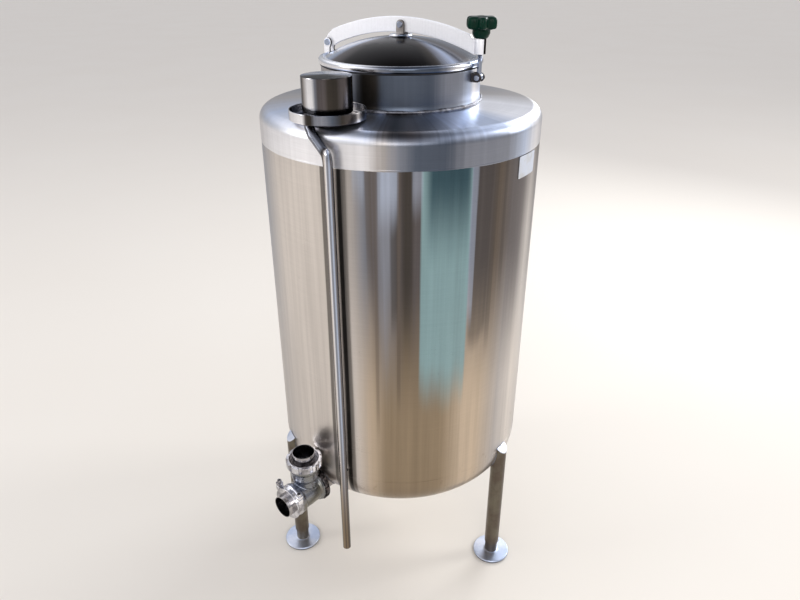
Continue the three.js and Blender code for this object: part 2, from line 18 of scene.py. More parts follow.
import bpy
import numpy as np
from mathutils import Matrix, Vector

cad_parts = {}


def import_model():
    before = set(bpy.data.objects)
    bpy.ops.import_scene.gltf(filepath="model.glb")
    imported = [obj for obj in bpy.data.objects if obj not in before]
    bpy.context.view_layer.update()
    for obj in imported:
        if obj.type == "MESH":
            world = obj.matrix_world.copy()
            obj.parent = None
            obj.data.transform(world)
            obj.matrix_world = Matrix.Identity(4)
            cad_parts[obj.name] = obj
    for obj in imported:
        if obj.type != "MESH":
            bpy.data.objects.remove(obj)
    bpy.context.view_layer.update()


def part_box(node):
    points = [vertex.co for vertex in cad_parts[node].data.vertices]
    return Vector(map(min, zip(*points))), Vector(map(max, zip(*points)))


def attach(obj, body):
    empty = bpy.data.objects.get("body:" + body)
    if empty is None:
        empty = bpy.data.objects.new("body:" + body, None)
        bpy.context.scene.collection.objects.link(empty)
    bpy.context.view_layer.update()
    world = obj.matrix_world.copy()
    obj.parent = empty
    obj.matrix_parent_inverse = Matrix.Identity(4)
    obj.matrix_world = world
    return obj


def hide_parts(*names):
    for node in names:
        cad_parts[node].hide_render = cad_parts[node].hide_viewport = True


LOG = logging.getLogger("tank")
Array = np.ndarray
MM = 0.001
TURN = 2.0 * math.pi
UP = np.array([0.0, 0.0, 1.0])
SHARP_DEGREES = 38.0
PHOTO_WIDTH = 800.0
SENSOR_MM = 36.0


# Shapes.


@dataclass(frozen=True)
class Seat:
    """A place that local millimetres are carried to.

    Attributes:
        x: Shift along the row's X, in millimetres.
        y: Shift along the row's Y, in millimetres.
        z: Shift along the row's Z, in millimetres.
        turn: Angle about Z in degrees, applied before the shift.
    """

    x: float = 0.0
    y: float = 0.0
    z: float = 0.0
    turn: float = 0.0

    def carry(self, points: Array) -> Array:
        """Returns local points of shape (..., 3), turned about Z and shifted, in metres."""
        c, s = math.cos(math.radians(self.turn)), math.sin(math.radians(self.turn))
        x, y, z = points[..., 0], points[..., 1], points[..., 2]
        return np.stack([c * x - s * y + self.x, s * x + c * y + self.y, z + self.z], -1) * MM

    def beside(self, x: float, y: float, turn: float = 0.0) -> Seat:
        """Returns a seat at a local point of this one, turned further by the given degrees."""
        at = self.carry(np.array([x, y, 0.0])) / MM
        return Seat(float(at[0]), float(at[1]), self.z, self.turn + turn)


def unit(vectors: Array) -> Array:
    """Returns the vectors divided by their lengths."""
    return vectors / np.maximum(np.linalg.norm(vectors, axis=-1, keepdims=True), 1e-12)


def around(count: int) -> Array:
    """Returns evenly spread angles of a whole turn, in radians."""
    return np.arange(count) * TURN / count


def polar(r: Array | float, a: Array, z: Array | float) -> Array:
    """Returns the points (r cos a, r sin a, z)."""
    return np.stack([r * np.cos(a), r * np.sin(a), z + 0.0 * a], -1)


def arc(x: float, z: float, r: float, start: float, end: float, steps: int) -> Array:
    """Returns points at radius r about (x, z), from one angle in degrees to another."""
    a = np.radians(np.linspace(start, end, steps + 1))
    return np.stack([x + r * np.cos(a), z + r * np.sin(a)], -1)


def quarter(r: float, z: float, run: float, rise: float, steps: int = 18) -> Array:
    """Returns a quarter ellipse of a head's knuckle: (r - run + run cos a, z + rise sin a)."""
    a = np.linspace(0.0, math.pi / 2, steps + 1)
    return np.stack([r - run + run * np.cos(a), z + rise * np.sin(a)], -1)


def line(start: Array, end: Array, steps: int) -> Array:
    """Returns the inner points of a straight of the given steps, without its two ends."""
    return start + (end - start) * np.linspace(0, 1, steps + 1)[1:-1, None]


def bend(start: Array, corner: Array, end: Array, t: Array) -> Array:
    """Returns the curve (1-t)^2 start + 2t(1-t) corner + t^2 end."""
    return (1 - t) ** 2 * start + 2 * t * (1 - t) * corner + t**2 * end


def eased(points: Sequence, radius: float | Sequence[float], steps: int = 4, closed: bool = True) -> Array:
    """Rounds the corners of a polyline.

    A corner becomes a quadratic curve between points on its two edges, each at the
    corner's radius from it. One more point on each edge, just outside the curve, keeps
    the shading of the flat beside it flat.

    Args:
        points: The polyline, shaped (n, 2).
        radius: One radius, or one for each corner, in millimetres.
        steps: Segments in each curve.
        closed: Whether the last point joins the first.

    Returns:
        The rounded polyline, shaped (m, 2).
    """
    p = np.asarray(points, float)
    r = np.broadcast_to(np.asarray(radius, float), len(p)).copy()
    if not closed:
        r[[0, -1]] = 0.0
    back, on = np.roll(p, 1, 0) - p, np.roll(p, -1, 0) - p
    room = np.minimum(np.linalg.norm(back, axis=1), np.linalg.norm(on, axis=1))
    reach = np.minimum(r, 0.42 * room)[:, None]
    extra = np.minimum(reach * 0.25, 0.06 * room[:, None])
    start, end = p + unit(back) * reach, p + unit(on) * reach
    t = np.linspace(0.0, 1.0, steps + 1)[None, :, None]
    curve = bend(start[:, None], p[:, None], end[:, None], t)
    first = (start + unit(back) * extra)[:, None]
    last = (end + unit(on) * extra)[:, None]
    return np.concatenate([first, curve, last], 1).reshape(-1, 2)


def revolve(profile: Array, count: int = 96) -> Array:
    """Turns a profile of radii and heights about Z: point (i, j) is profile point i at angle j."""
    p = np.asarray(profile, float)
    return polar(p[:, :1], around(count), p[:, 1:])


def spun(corners: Sequence, radius: float | Sequence[float], steps: int, count: int) -> Array:
    """Turns a closed profile with rounded corners about Z, for a grid whose rows close into a ring."""
    return revolve(eased(corners, radius, steps), count)


def spun_solid(corners: Sequence, radius: float | Sequence[float], steps: int, count: int) -> Array:
    """Turns a profile that starts and ends on the axis about Z, with its other corners rounded."""
    return revolve(eased(corners, radius, steps, False), count)


def lay_along_x(points: Array, z: float) -> Array:
    """Returns a grid about Z laid along X at the given height: (x, y, z) to (z, y, height - x)."""
    return np.stack([points[..., 2], points[..., 1], z - points[..., 0]], -1)


def lay_along_y(points: Array, x: float, z: float) -> Array:
    """Returns a grid about Z laid along Y through a point of the XZ plane."""
    return np.stack([points[..., 0] + x, points[..., 2], points[..., 1] + z], -1)


def standing(points: Array) -> Array:
    """Returns a plate's grid stood upright: its plane becomes XZ and its height runs along Y."""
    return points[..., [0, 2, 1]]


def sweep(path: Array, section: Array, up: Array, loop: bool = False) -> Array:
    """Carries a section along a path.

    Point (i, j) is path point i, plus section x along the side (tangent x up) and section
    y along the lift (side x tangent).

    Args:
        path: Points of the path, shaped (n, 3).
        section: Closed section, shaped (m, 2), or one for each point, shaped (n, m, 2).
        up: A direction across the path, shaped (3,) or (n, 3).
        loop: Whether the path closes on itself.

    Returns:
        A grid shaped (n, m, 3).
    """
    along = np.roll(path, -1, 0) - np.roll(path, 1, 0) if loop else np.gradient(path, axis=0)
    tangent = unit(along)
    side = unit(np.cross(tangent, np.broadcast_to(up, path.shape)))
    lift = np.cross(side, tangent)
    s = np.broadcast_to(section, (len(path),) + section.shape[-2:])
    return path[:, None] + s[..., :1] * side[:, None] + s[..., 1:] * lift[:, None]


def plate(outline: Array, low: float, high: float, edge: float = 1.0, steps: int = 3) -> Array:
    """Gives a closed outline a thickness with rounded edges.

    Row i is the outline drawn in along its normals by inset(i) at lift(i), where both
    follow a quarter circle at each rim and end a little further in on the flat faces.

    Args:
        outline: Points in the plane, shaped (m, 2).
        low: Height of the lower face.
        high: Height of the upper face.
        edge: Radius of both rims.
        steps: Segments in each rim.

    Returns:
        A grid shaped (rows, m, 3) with the height as its third coordinate.
    """
    p = np.asarray(outline, float)
    p = p[np.linalg.norm(p - np.roll(p, 1, 0), axis=1) > 1e-6]
    x, y = p.T
    if np.sum(x * np.roll(y, -1) - y * np.roll(x, -1)) < 0:
        p = p[::-1]
    edges = unit(np.roll(p, -1, 0) - p)
    left = np.stack([-edges[:, 1], edges[:, 0]], -1)
    mean = unit(left + np.roll(left, 1, 0))
    inward = mean / np.maximum((mean * left).sum(-1, keepdims=True), 0.5)
    a = np.linspace(0.0, math.pi / 2, steps + 1)
    falling, rising, face = edge * (1 - np.sin(a)), edge * (1 - np.cos(a)), edge * 1.35
    inset = np.concatenate([[face], falling, rising, [face]])
    lift = np.concatenate([[low], low + rising, high - falling, [high]])
    flat = p[None] + inward[None] * inset[:, None, None]
    return np.concatenate([flat, np.broadcast_to(lift[:, None, None], flat.shape[:2] + (1,))], -1)


def bead(
    path: Array, up: Array, width: float, height: float, ripples: int, seed: int, loop: bool = True
) -> Array:
    """Lays a weld bead along a path.

    The section is an ellipse whose half width and height are scaled by one plus a fast
    ripple and a few slow waves of the path's own parameter, so the bead is uneven.

    Args:
        path: Points of the path, shaped (n, 3).
        up: Outward direction of the bead's crown.
        width: Half width in millimetres.
        height: Half height in millimetres.
        ripples: Ripples along the whole path.
        seed: Seed of the slow waves.
        loop: Whether the path closes on itself.

    Returns:
        A grid shaped (n, 10, 3).
    """
    t = around(len(path))
    rng = np.random.default_rng(seed)
    waves = rng.integers(3, 29, 7)
    slow = (np.sin(np.outer(t, waves) + rng.uniform(0, TURN, 7)) * rng.uniform(0.03, 0.13, 7)).sum(1)
    swell = 1.0 + 0.14 * np.abs(np.sin(t * ripples / 2)) + slow
    scale = np.stack([width * (1 + slow), height * swell], -1)
    section = polar(1.0, around(10), 0.0)[None, :, :2] * scale[:, None]
    return sweep(path, section, up, loop)


def hexagon(flats: float, z0: float, z1: float) -> Array:
    """Shapes a hexagon nut about Z between two heights.

    The radius at angle a is half the flats over cos(a mod 60 - 30), held under the
    chamfer's own radius at each row.

    Args:
        flats: Distance across the flats.
        z0: Lower face.
        z1: Upper face.

    Returns:
        A grid that ends on the axis at both faces.
    """
    a = around(60)
    six = flats / 2 / np.cos((a % (TURN / 6)) - TURN / 12)
    rim = flats * 0.5
    rows = [(0.0, z0), (rim * 0.97, z0), (rim * 1.02, z0 + 0.6), (rim * 1.2, z0 + 1.3)]
    rows += [(rim * 1.2, z1 - 1.3), (rim * 1.02, z1 - 0.6), (rim * 0.97, z1), (0.0, z1)]
    cap, z = np.array(rows).T
    return polar(np.minimum(six[None], cap[:, None]), a, z[:, None])


def thread(r: float, depth: float, pitch: float, z0: float, z1: float) -> Array:
    """Shapes a threaded rod about Z between two heights.

    The radius at angle a and height z is r less depth times a triangle wave of
    z / pitch - a / turn, so its crest climbs one pitch a turn.

    Args:
        r: Crest radius.
        depth: Thread depth.
        pitch: Rise in one turn.
        z0: Lower end.
        z1: Upper end.

    Returns:
        A grid that is closed on the axis at both ends.
    """
    a = around(36)
    z = np.linspace(z0, z1, int((z1 - z0) / pitch * 6) + 2)
    wave = np.abs(((z[:, None] / pitch - a[None] / TURN) % 1.0) * 2 - 1)
    tip = np.clip(np.minimum(z - z0, z1 - z)[:, None] / 1.5, 0, 1)
    rod = polar(r - depth * wave - 1.2 * (1 - tip), a, z[:, None])
    ends = [np.broadcast_to(UP * end, (1, len(a), 3)) for end in (z0, z1)]
    return np.concatenate([ends[0], rod, ends[1]], 0)


def headed_pin(x: float, z: float, r: float, half: float, head_r: float, head_t: float) -> Array:
    """Shapes a pin along Y with a chamfered head at each end.

    Args:
        x: Place along local X.
        z: Height of its axis.
        r: Shank radius.
        half: Half the shank's length.
        head_r: Head radius.
        head_t: Head thickness.

    Returns:
        A grid about the pin's axis.
    """
    right = [(r, half), (head_r, half), (head_r, half + head_t), (0, half + head_t)]
    left = [(far, -along) for far, along in reversed(right)]
    return lay_along_y(spun_solid(left + right, [0, 1.2, 0.4, 0.3, 0.3, 0.4, 1.2, 0], 4, 48), x, z)


class Skin:
    """Closed grids gathered into one mesh."""

    def __init__(self, seat: Seat) -> None:
        """Starts an empty skin whose grids are carried to a seat."""
        self.seat = seat
        self.points: list[Array] = []
        self.loops: list[Array] = []
        self.counts: list[Array] = []
        self.total = 0

    def add(self, grid: Array, ring: bool = False) -> Skin:
        """Adds a grid whose columns close on themselves.

        Rows either close into a ring or end in a flat cap or a pole. Doubled points are
        merged, faces that lose corners by it become triangles or vanish, and the whole
        grid is turned over where its signed volume is negative.

        Args:
            grid: Points shaped (rows, columns, 3), in local millimetres.
            ring: Whether the last row joins the first.

        Returns:
            This skin.
        """
        flat = grid.reshape(-1, 3)
        cells = np.round(flat * 1e4).astype(np.int64)
        _, first, same = np.unique(cells, axis=0, return_index=True, return_inverse=True)
        ids = same.reshape(grid.shape[:2])
        beside, above = np.roll(ids, -1, 1), np.roll(ids, -1, 0)
        quads = np.stack([ids, beside, np.roll(beside, -1, 0), above], -1)
        quads = (quads if ring else quads[:-1]).reshape(-1, 4)
        pts = flat[first]
        p = pts[quads]
        volume = (p[:, 0] * (np.cross(p[:, 1], p[:, 2]) + np.cross(p[:, 2], p[:, 3]))).sum()
        ends = [] if ring else [end[end != np.roll(end, 1)] for end in (ids[0][::-1], ids[-1])]
        caps = [end for end in ends if len(np.unique(end)) > 2]
        for cap in caps:
            q = pts[cap]
            volume += (q[0] * np.cross(q[1:-1], q[2:]).sum(0)).sum()
        keep = quads != np.roll(quads, 1, 1)
        whole = keep.sum(1) >= 3
        faces = [(quads[whole][keep[whole]], keep[whole].sum(1))]
        faces += [(cap, np.array([len(cap)])) for cap in caps]
        for loop, count in faces:
            self.loops.append((self._reversed(loop, count) if volume < 0 else loop) + self.total)
            self.counts.append(count)
        self.points.append(self.seat.carry(pts))
        self.total += len(pts)
        return self

    @staticmethod
    def _reversed(loop: Array, count: Array) -> Array:
        """Returns the corners of faces with the given corner counts, each face's in reverse."""
        ends = np.cumsum(count)
        owner = np.repeat(np.arange(len(count)), count)
        return loop[(ends + ends - count - 1)[owner] - np.arange(len(loop))]

    def piece(self, name: str) -> bpy.types.Object:
        """Puts the gathered grids into one mesh and returns its object, at the origin."""
        points, loops, counts = (np.concatenate(x) for x in (self.points, self.loops, self.counts))
        mesh = bpy.data.meshes.new(name)
        mesh.vertices.add(len(points))
        mesh.vertices.foreach_set("co", points.astype(np.float32).ravel())
        mesh.loops.add(len(loops))
        mesh.loops.foreach_set("vertex_index", loops.astype(np.int32))
        mesh.polygons.add(len(counts))
        mesh.polygons.foreach_set("loop_start", (np.cumsum(counts) - counts).astype(np.int32))
        mesh.polygons.foreach_set("use_smooth", np.ones(len(counts), bool))
        mesh.update(calc_edges=True)
        mesh.validate()
        mesh.set_sharp_from_angle(angle=math.radians(SHARP_DEGREES))
        obj = bpy.data.objects.new(name, mesh)
        bpy.context.scene.collection.objects.link(obj)
        return obj


# Shader maths.


def linear(red: int, green: int, blue: int) -> tuple[float, float, float]:
    """Returns an sRGB colour of 0 to 255 as linear light."""
    c = np.array([red, green, blue]) / 255.0
    out = np.where(c <= 0.04045, c / 12.92, ((c + 0.055) / 1.055) ** 2.4)
    return float(out[0]), float(out[1]), float(out[2])


class Field:
    """A shader socket that Python arithmetic adds Math nodes to."""

    def __init__(self, graph: Graph, socket: bpy.types.NodeSocket) -> None:
        """Wraps an output socket of a graph."""
        self.graph = graph
        self.socket = socket

    def math(self, operation: str, *terms: Field | float) -> Field:
        """Returns a Math node's result for the given operation on the given terms."""
        return self.graph.node("ShaderNodeMath", {"operation": operation}, dict(enumerate(terms)))

    def __add__(self, other: Field | float) -> Field:
        """Returns self + other."""
        return self.math("ADD", self, other)

    def __radd__(self, other: float) -> Field:
        """Returns other + self."""
        return self.math("ADD", other, self)

    def __sub__(self, other: Field | float) -> Field:
        """Returns self - other."""
        return self.math("SUBTRACT", self, other)

    def __rsub__(self, other: float) -> Field:
        """Returns other - self."""
        return self.math("SUBTRACT", other, self)

    def __mul__(self, other: Field | float) -> Field:
        """Returns self * other."""
        return self.math("MULTIPLY", self, other)

    def __rmul__(self, other: float) -> Field:
        """Returns other * self."""
        return self.math("MULTIPLY", other, self)

    def __truediv__(self, other: Field | float) -> Field:
        """Returns self / other."""
        return self.math("DIVIDE", self, other)

    def __pow__(self, other: float) -> Field:
        """Returns self to the power other."""
        return self.math("POWER", self, other)

    def rise(self, low: float, high: float) -> Field:
        """Returns 0 below low, 1 above high and a smooth step between; low may be above high."""
        settings = {"interpolation_type": "SMOOTHSTEP", "clamp": True}
        inputs = {"Value": self, "From Min": low, "From Max": high, "To Min": 0.0, "To Max": 1.0}
        return self.graph.node("ShaderNodeMapRange", settings, inputs)

    def hump(self, centre: float, half: float, soft: float) -> Field:
        """Returns 1 within half of centre, falling smoothly to 0 over soft more."""
        return self.math("ABSOLUTE", self - centre).rise(half + soft, half)


class Graph:
    """The node tree of a material or a world, with one way to add any node."""

    def __init__(
        self, owner: bpy.types.Material | bpy.types.World, output: str = "ShaderNodeOutputMaterial"
    ) -> None:
        """Empties the owner's tree and gives it an output node."""
        owner.use_nodes = True
        self.tree = owner.node_tree
        self.tree.nodes.clear()
        self.out = self.tree.nodes.new(output)

    def node(self, kind: str, settings: dict, inputs: dict, output: int | str = 0) -> Field:
        """Adds a node.

        Args:
            kind: The node's type.
            settings: Its attributes, set first; "stops" holds a ramp's (place, colour) pairs.
            inputs: Values or fields by socket name or number.
            output: The socket to return.

        Returns:
            The chosen output as a field.
        """
        node = self.tree.nodes.new(kind)
        for key, value in settings.items():
            if key == "stops":
                self._stops(node.color_ramp, value)
            else:
                setattr(node, key, value)
        for key, value in inputs.items():
            self._feed(node.inputs[key], value)
        return Field(self, node.outputs[output])

    def _stops(self, ramp: bpy.types.ColorRamp, stops: Sequence) -> None:
        """Gives a ramp its stops, which come in order of place."""
        while len(ramp.elements) < len(stops):
            ramp.elements.new(1.0)
        for element, (place, colour) in zip(ramp.elements, stops):
            element.position = place
            element.color = (*colour, 1.0)

    def _feed(self, socket: bpy.types.NodeSocket, value: object) -> None:
        """Links a field to a socket, or sets the socket's own value."""
        if isinstance(value, Field):
            self.tree.links.new(value.socket, socket)
        elif isinstance(value, tuple) and socket.type == "RGBA":
            socket.default_value = (*value[:3], 1.0)
        else:
            socket.default_value = value

    def place(self) -> tuple[Field, Field, Field]:
        """Returns the object coordinates as three fields, in metres."""
        at = self.node("ShaderNodeTexCoord", {}, {}, "Object")
        return tuple(self.node("ShaderNodeSeparateXYZ", {}, {0: at}, i) for i in range(3))

    def vector(self, x: Field | float, y: Field | float, z: Field | float) -> Field:
        """Returns three fields as one vector."""
        return self.node("ShaderNodeCombineXYZ", {}, {0: x, 1: y, 2: z})

    def noise(self, at: tuple, scale: float | tuple, detail: float = 3.0, roughness: float = 0.5) -> Field:
        """Returns a noise of 0 to 1.

        Args:
            at: Three coordinates.
            scale: What they are multiplied by, one for all or one for each.
            detail: Octaves.
            roughness: Share of the finer octaves.

        Returns:
            The noise as a field.
        """
        scales = scale if isinstance(scale, tuple) else (scale,) * 3
        vector = self.vector(*(c * s for c, s in zip(at, scales)))
        inputs = {"Vector": vector, "Scale": 1.0, "Detail": detail, "Roughness": roughness}
        return self.node("ShaderNodeTexNoise", {}, inputs)

    def blend(self, base: object, top: object, factor: Field | float, mode: str = "MIX") -> Field:
        """Returns two colours mixed by a factor in the given mode."""
        settings = {"data_type": "RGBA", "blend_type": mode}
        return self.node("ShaderNodeMix", settings, {0: factor, 6: base, 7: top}, 2)

    def relief(self, height: Field, distance: float, strength: float) -> Field:
        """Returns a Bump node's normal for a height field."""
        inputs = {"Height": height, "Distance": distance, "Strength": strength}
        return self.node("ShaderNodeBump", {}, inputs)

    def ramp(self, at: Field, stops: Sequence) -> Field:
        """Returns the colour of a ramp of (place, colour) stops at a field of 0 to 1."""
        return self.node("ShaderNodeValToRGB", {"stops": stops}, {"Fac": at})

    def shade(self, colour: Field, by: Field) -> Field:
        """Returns a colour multiplied by a plain field."""
        return self.blend(colour, self.vector(by, by, by), 1.0, "MULTIPLY")

    def finish(self, **inputs: object) -> None:
        """Adds the Principled shader with inputs by name, underscores for spaces, and ends the tree."""
        named = {key.replace("_", " "): value for key, value in inputs.items()}
        self.surface(self.node("ShaderNodeBsdfPrincipled", {}, named))

    def surface(self, shader: Field) -> None:
        """Links a shader to the tree's output."""
        self.tree.links.new(shader.socket, self.out.inputs["Surface"])


class Tone(Enum):
    """The greys and tints of the steel, which also serve as painted reflection, highlight and shade tones."""

    WHITE = linear(246, 246, 250)
    ICE = linear(186, 198, 221)
    CREAM = linear(214, 207, 201)
    PALE = linear(177, 172, 170)
    COOL = linear(135, 139, 150)
    SAND = linear(196, 179, 159)
    TAN = linear(145, 129, 108)
    OLIVE = linear(135, 132, 115)
    UMBER = linear(97, 87, 78)
    SLATE = linear(94, 89, 90)
    NAVY = linear(84, 92, 106)
    DARK = linear(63, 59, 55)
    NIGHT = linear(27, 25, 25)
    # TEAL and DEEP are only painted reflection colours.
    TEAL = linear(138, 168, 174)
    DEEP = linear(55, 79, 90)


class Grain(Enum):
    """How a brushed surface's fine lines run: noise cells in a metre along X, Y and Z."""

    AROUND = (6.0, 6.0, 700.0)
    UPRIGHT = (700.0, 700.0, 6.0)
    CLOUDY = (60.0, 60.0, 60.0)


BRUSHED, SATIN, POLISHED = "brushed_steel", "satin_steel", "polished_steel"


# Finishes.


@dataclass(frozen=True)
class Finish(ABC):
    """A material that is made once and shared by pieces.

    Attributes:
        label: The material's name.
        slot: Name of a material slot; not used.
    """

    label: str
    slot: str

    @abstractmethod
    def paint(self, graph: Graph) -> None:
        """Writes the finish into a graph."""

    def material(self) -> bpy.types.Material:
        """Returns the finish's material, made the first time it is asked for."""
        known = bpy.data.materials.get(self.label)
        if known is None:
            known = bpy.data.materials.new(self.label)
            self.paint(Graph(known))
        return known


@dataclass(frozen=True)
class Streak:
    """One upright painted reflection band over a banded finish.

    Attributes:
        bearing: Its middle, in degrees.
        half: Half its width, in degrees.
        soft: Width of each soft edge, in degrees.
        start: Height where it is absent, in metres.
        full: Height where it is full, in metres; below start for a band that hangs down.
        tone: Its tone.
        share: How much it covers.
    """

    bearing: float
    half: float
    soft: float
    start: float
    full: float
    tone: Tone
    share: float

    def lay(self, graph: Graph, under: Field, degrees: Field, z: Field) -> Field:
        """Returns the colour under it with the band laid on."""
        # Mask of the painted reflection band, by bearing and height.
        mask = degrees.hump(self.bearing, self.half, self.soft) * z.rise(self.start, self.full)
        return graph.blend(under, self.tone.value, mask * self.share)


@dataclass(frozen=True)
class Banded(Finish):
    """Brushed round work with painted reflections, highlights and shade in upright bands around an axis.

    Attributes:
        axis: The axis in the row, in metres.
        low: Painted reflection tones by bearing at the low end, as (degrees, tone).
        high: Painted reflection tones by bearing at the high end; the low ones if empty.
        z_low: Height where the low tones hold, in metres.
        z_high: Height where the high tones hold, in metres.
        waver: How far bands wander, in turns.
        streak: How strong the fine upright painted reflection streaks are.
        roughness: Mean roughness.
        anisotropic: Stretch of the highlights.
        lines: Fine lines around the axis in a metre of the profile.
        scuffs: How dark the small scuffs are.
        soil: Amount of brown film near the foot.
        streaks: Single painted reflection bands laid over the tones.
        glance: Share of the reflection kept at grazing angles.
        metal: Share of metallic reflection.
    """

    axis: tuple
    low: tuple
    high: tuple = ()
    z_low: float = 0.72
    z_high: float = 1.24
    waver: float = 0.006
    streak: float = 0.40
    roughness: float = 0.3
    anisotropic: float = 0.6
    lines: float = 620.0
    scuffs: float = 0.12
    soil: float = 0.0
    streaks: tuple = ()
    glance: float = 1.0
    metal: float = 1.0

    def _around(self, graph: Graph, bearing: Field, tones: tuple) -> Field:
        """Returns a ramp of tones over the bearing, which is 0 to 1 in a turn from -180 degrees."""
        return graph.ramp(bearing, [((degrees + 180.0) / 360.0, tone.value) for degrees, tone in tones])

    def paint(self, graph: Graph) -> None:
        """Writes the finish into a graph."""
        x, y, z = graph.place()
        x, y = x - self.axis[0], y - self.axis[1]
        reach = (x * x + y * y) ** 0.5 + 0.001
        cx, cy = x / reach, y / reach
        angle = y.math("ARCTAN2", y, x) / TURN + 0.5
        broad = graph.noise((cx, cy, z), (3.6, 3.6, 0.8))
        mid = graph.noise((cx, cy, z * 1.1 + 3.0), (9.0, 9.0, 1.0), 3.0, 0.55)
        fine = graph.noise((cx, cy, z), (28.0, 28.0, 1.3), 3.0, 0.6)
        bearing = angle + (broad - 0.5) * self.waver + (fine - 0.5) * self.waver * 0.7
        # Painted reflections, highlights and shade: ramps of tones by bearing, blended by height.
        lower = self._around(graph, bearing, self.low)
        upper = self._around(graph, bearing, self.high or self.low)
        span = self.z_high - self.z_low
        height = z + (fine - 0.5) * span * 0.4 + (broad - 0.5) * span * 0.6
        tone = graph.blend(lower, upper, height.rise(self.z_low, self.z_high))
        # Single painted reflection bands on top.
        for streak in self.streaks:
            tone = streak.lay(graph, tone, (bearing - 0.5) * 360.0, z + (mid - 0.5) * 0.16)
        # Noise that darkens and lightens the tone in upright streaks: painted streaky reflections.
        grain = (fine - 0.5) + (mid - 0.5) * 0.9 + (broad - 0.5) * 0.5
        tone = graph.shade(tone, grain * self.streak + 1.0)
        cloud = graph.noise((x, y, z), (7.0, 7.0, 5.0), 4.0, 0.62)
        splash = graph.noise((x, y, z), (40.0, 40.0, 26.0), 4.0, 0.7).rise(0.60, 0.74)
        film = splash * z.rise(self.z_low, self.z_low * 0.55) * self.soil
        tone = graph.blend(tone, Tone.TAN.value, film)
        lines = graph.noise((cx, cy, z + reach), (2.0, 2.0, self.lines), 3.0, 0.7)
        scuff = graph.noise((x, y, z), (70.0, 70.0, 55.0), 3.0, 0.6).rise(0.70, 0.78)
        tone = graph.shade(tone, lines * 0.2 + 0.9 - scuff * self.scuffs)
        graph.finish(
            Base_Color=tone,
            Metallic=self.metal,
            Roughness=self.roughness - 0.09 + cloud * 0.1 + lines * 0.08 + film * 0.3,
            Anisotropic=self.anisotropic,
            Specular_Tint=(self.glance, self.glance, self.glance),
            Normal=graph.relief(lines * 0.7 + cloud * 0.3, 0.0004, 0.35),
        )


@dataclass(frozen=True)
class Steel(Finish):
    """Bare stainless sheet, tube or forging.

    Attributes:
        tone: Base colour.
        shade: Colour that cloudy patches lean to.
        roughness: Mean roughness.
        swing: How far patches move the roughness.
        grain: How the fine lines run.
        relief: Strength of the fine lines' relief.
        patches: How strongly patches show in the colour.
        anisotropic: Stretch of the highlights.
        soil: Amount of brown film in patches.
        metal: Share of metallic reflection.
        brush: How strongly the fine lines show in the colour.
    """

    tone: Tone
    shade: Tone
    roughness: float
    swing: float
    grain: Grain
    relief: float
    patches: float
    anisotropic: float = 0.0
    soil: float = 0.0
    metal: float = 1.0
    brush: float = 0.22

    def paint(self, graph: Graph) -> None:
        """Writes the finish into a graph."""
        at = graph.place()
        lines = graph.noise(at, self.grain.value, 3.0, 0.65)
        cloud = graph.noise(at, 11.0, 5.0, 0.6)
        speck = graph.noise(at, 160.0, 2.0)
        tone = graph.blend(self.tone.value, self.shade.value, cloud.rise(0.38, 0.64) * self.patches)
        tone = graph.shade(tone, lines * self.brush + speck * 0.1 + 0.95 - self.brush * 0.5)
        if self.soil > 0.0:
            film = graph.noise(at, 30.0, 5.0, 0.7).rise(0.5, 0.68)
            tone = graph.blend(tone, linear(96, 66, 38), film * self.soil)
        graph.finish(
            Base_Color=tone,
            Metallic=self.metal,
            Roughness=self.roughness + (cloud - 0.5) * self.swing * 2.0 + (lines - 0.5) * 0.06,
            Anisotropic=self.anisotropic,
            Normal=graph.relief(lines * 0.8 + speck * 0.2, 0.0003, self.relief),
        )


@dataclass(frozen=True)
class Weld(Finish):
    """A pickled weld bead, grey to silver with a few straw-brown patches."""

    def paint(self, graph: Graph) -> None:
        """Writes the finish into a graph."""
        at = graph.place()
        greys = ((0.3, (74, 70, 68)), (0.45, (106, 106, 112)), (0.6, (142, 144, 152)), (0.75, (96, 84, 70)))
        fine = graph.noise(at, 420.0, 2.0)
        graph.finish(
            Base_Color=graph.ramp(graph.noise(at, 45.0, 3.0, 0.6), [(p, linear(*c)) for p, c in greys]),
            Metallic=1.0,
            Roughness=0.34 + fine * 0.2,
            Normal=graph.relief(fine, 0.0006, 0.5),
        )


@dataclass(frozen=True)
class Rubber(Finish):
    """Matte black rubber with a dusty bloom."""

    def paint(self, graph: Graph) -> None:
        """Writes the finish into a graph."""
        at = graph.place()
        dust = graph.noise(at, 60.0, 5.0, 0.65)
        graph.finish(
            Base_Color=graph.blend(linear(26, 26, 28), linear(74, 70, 64), dust.rise(0.5, 0.8) * 0.6),
            Roughness=0.68 + dust * 0.25,
            Specular_IOR_Level=0.35,
            Normal=graph.relief(graph.noise(at, 900.0, 2.0), 0.0004, 0.4),
        )


@dataclass(frozen=True)
class MouldedGreen(Finish):
    """Dark green moulded plastic, paler in noisy patches towards the lobes' tips.

    Attributes:
        centre: The knob's axis in the row, in metres.
        reach: The lobes' outer radius, in metres.
    """

    centre: tuple
    reach: float = 0.042

    def paint(self, graph: Graph) -> None:
        """Writes the finish into a graph."""
        at = graph.place()
        dx, dy = at[0] - self.centre[0], at[1] - self.centre[1]
        out = (dx * dx + dy * dy) ** 0.5
        grime = graph.noise(at, 130.0, 5.0, 0.7)
        # Paler towards the lobes' tips, in noisy patches.
        worn = out.rise(self.reach * 0.72, self.reach) * grime.rise(0.4, 0.65)
        tone = graph.blend(linear(1, 38, 27), linear(1, 11, 8), grime.rise(0.5, 0.72) * 0.8)
        graph.finish(
            Base_Color=graph.blend(tone, linear(14, 72, 54), worn * 0.3),
            Roughness=0.22 + grime * 0.2 - worn * 0.06,
            Specular_IOR_Level=0.12,
            Normal=graph.relief(graph.noise(at, 1500.0, 2.0), 0.0003, 0.3),
        )


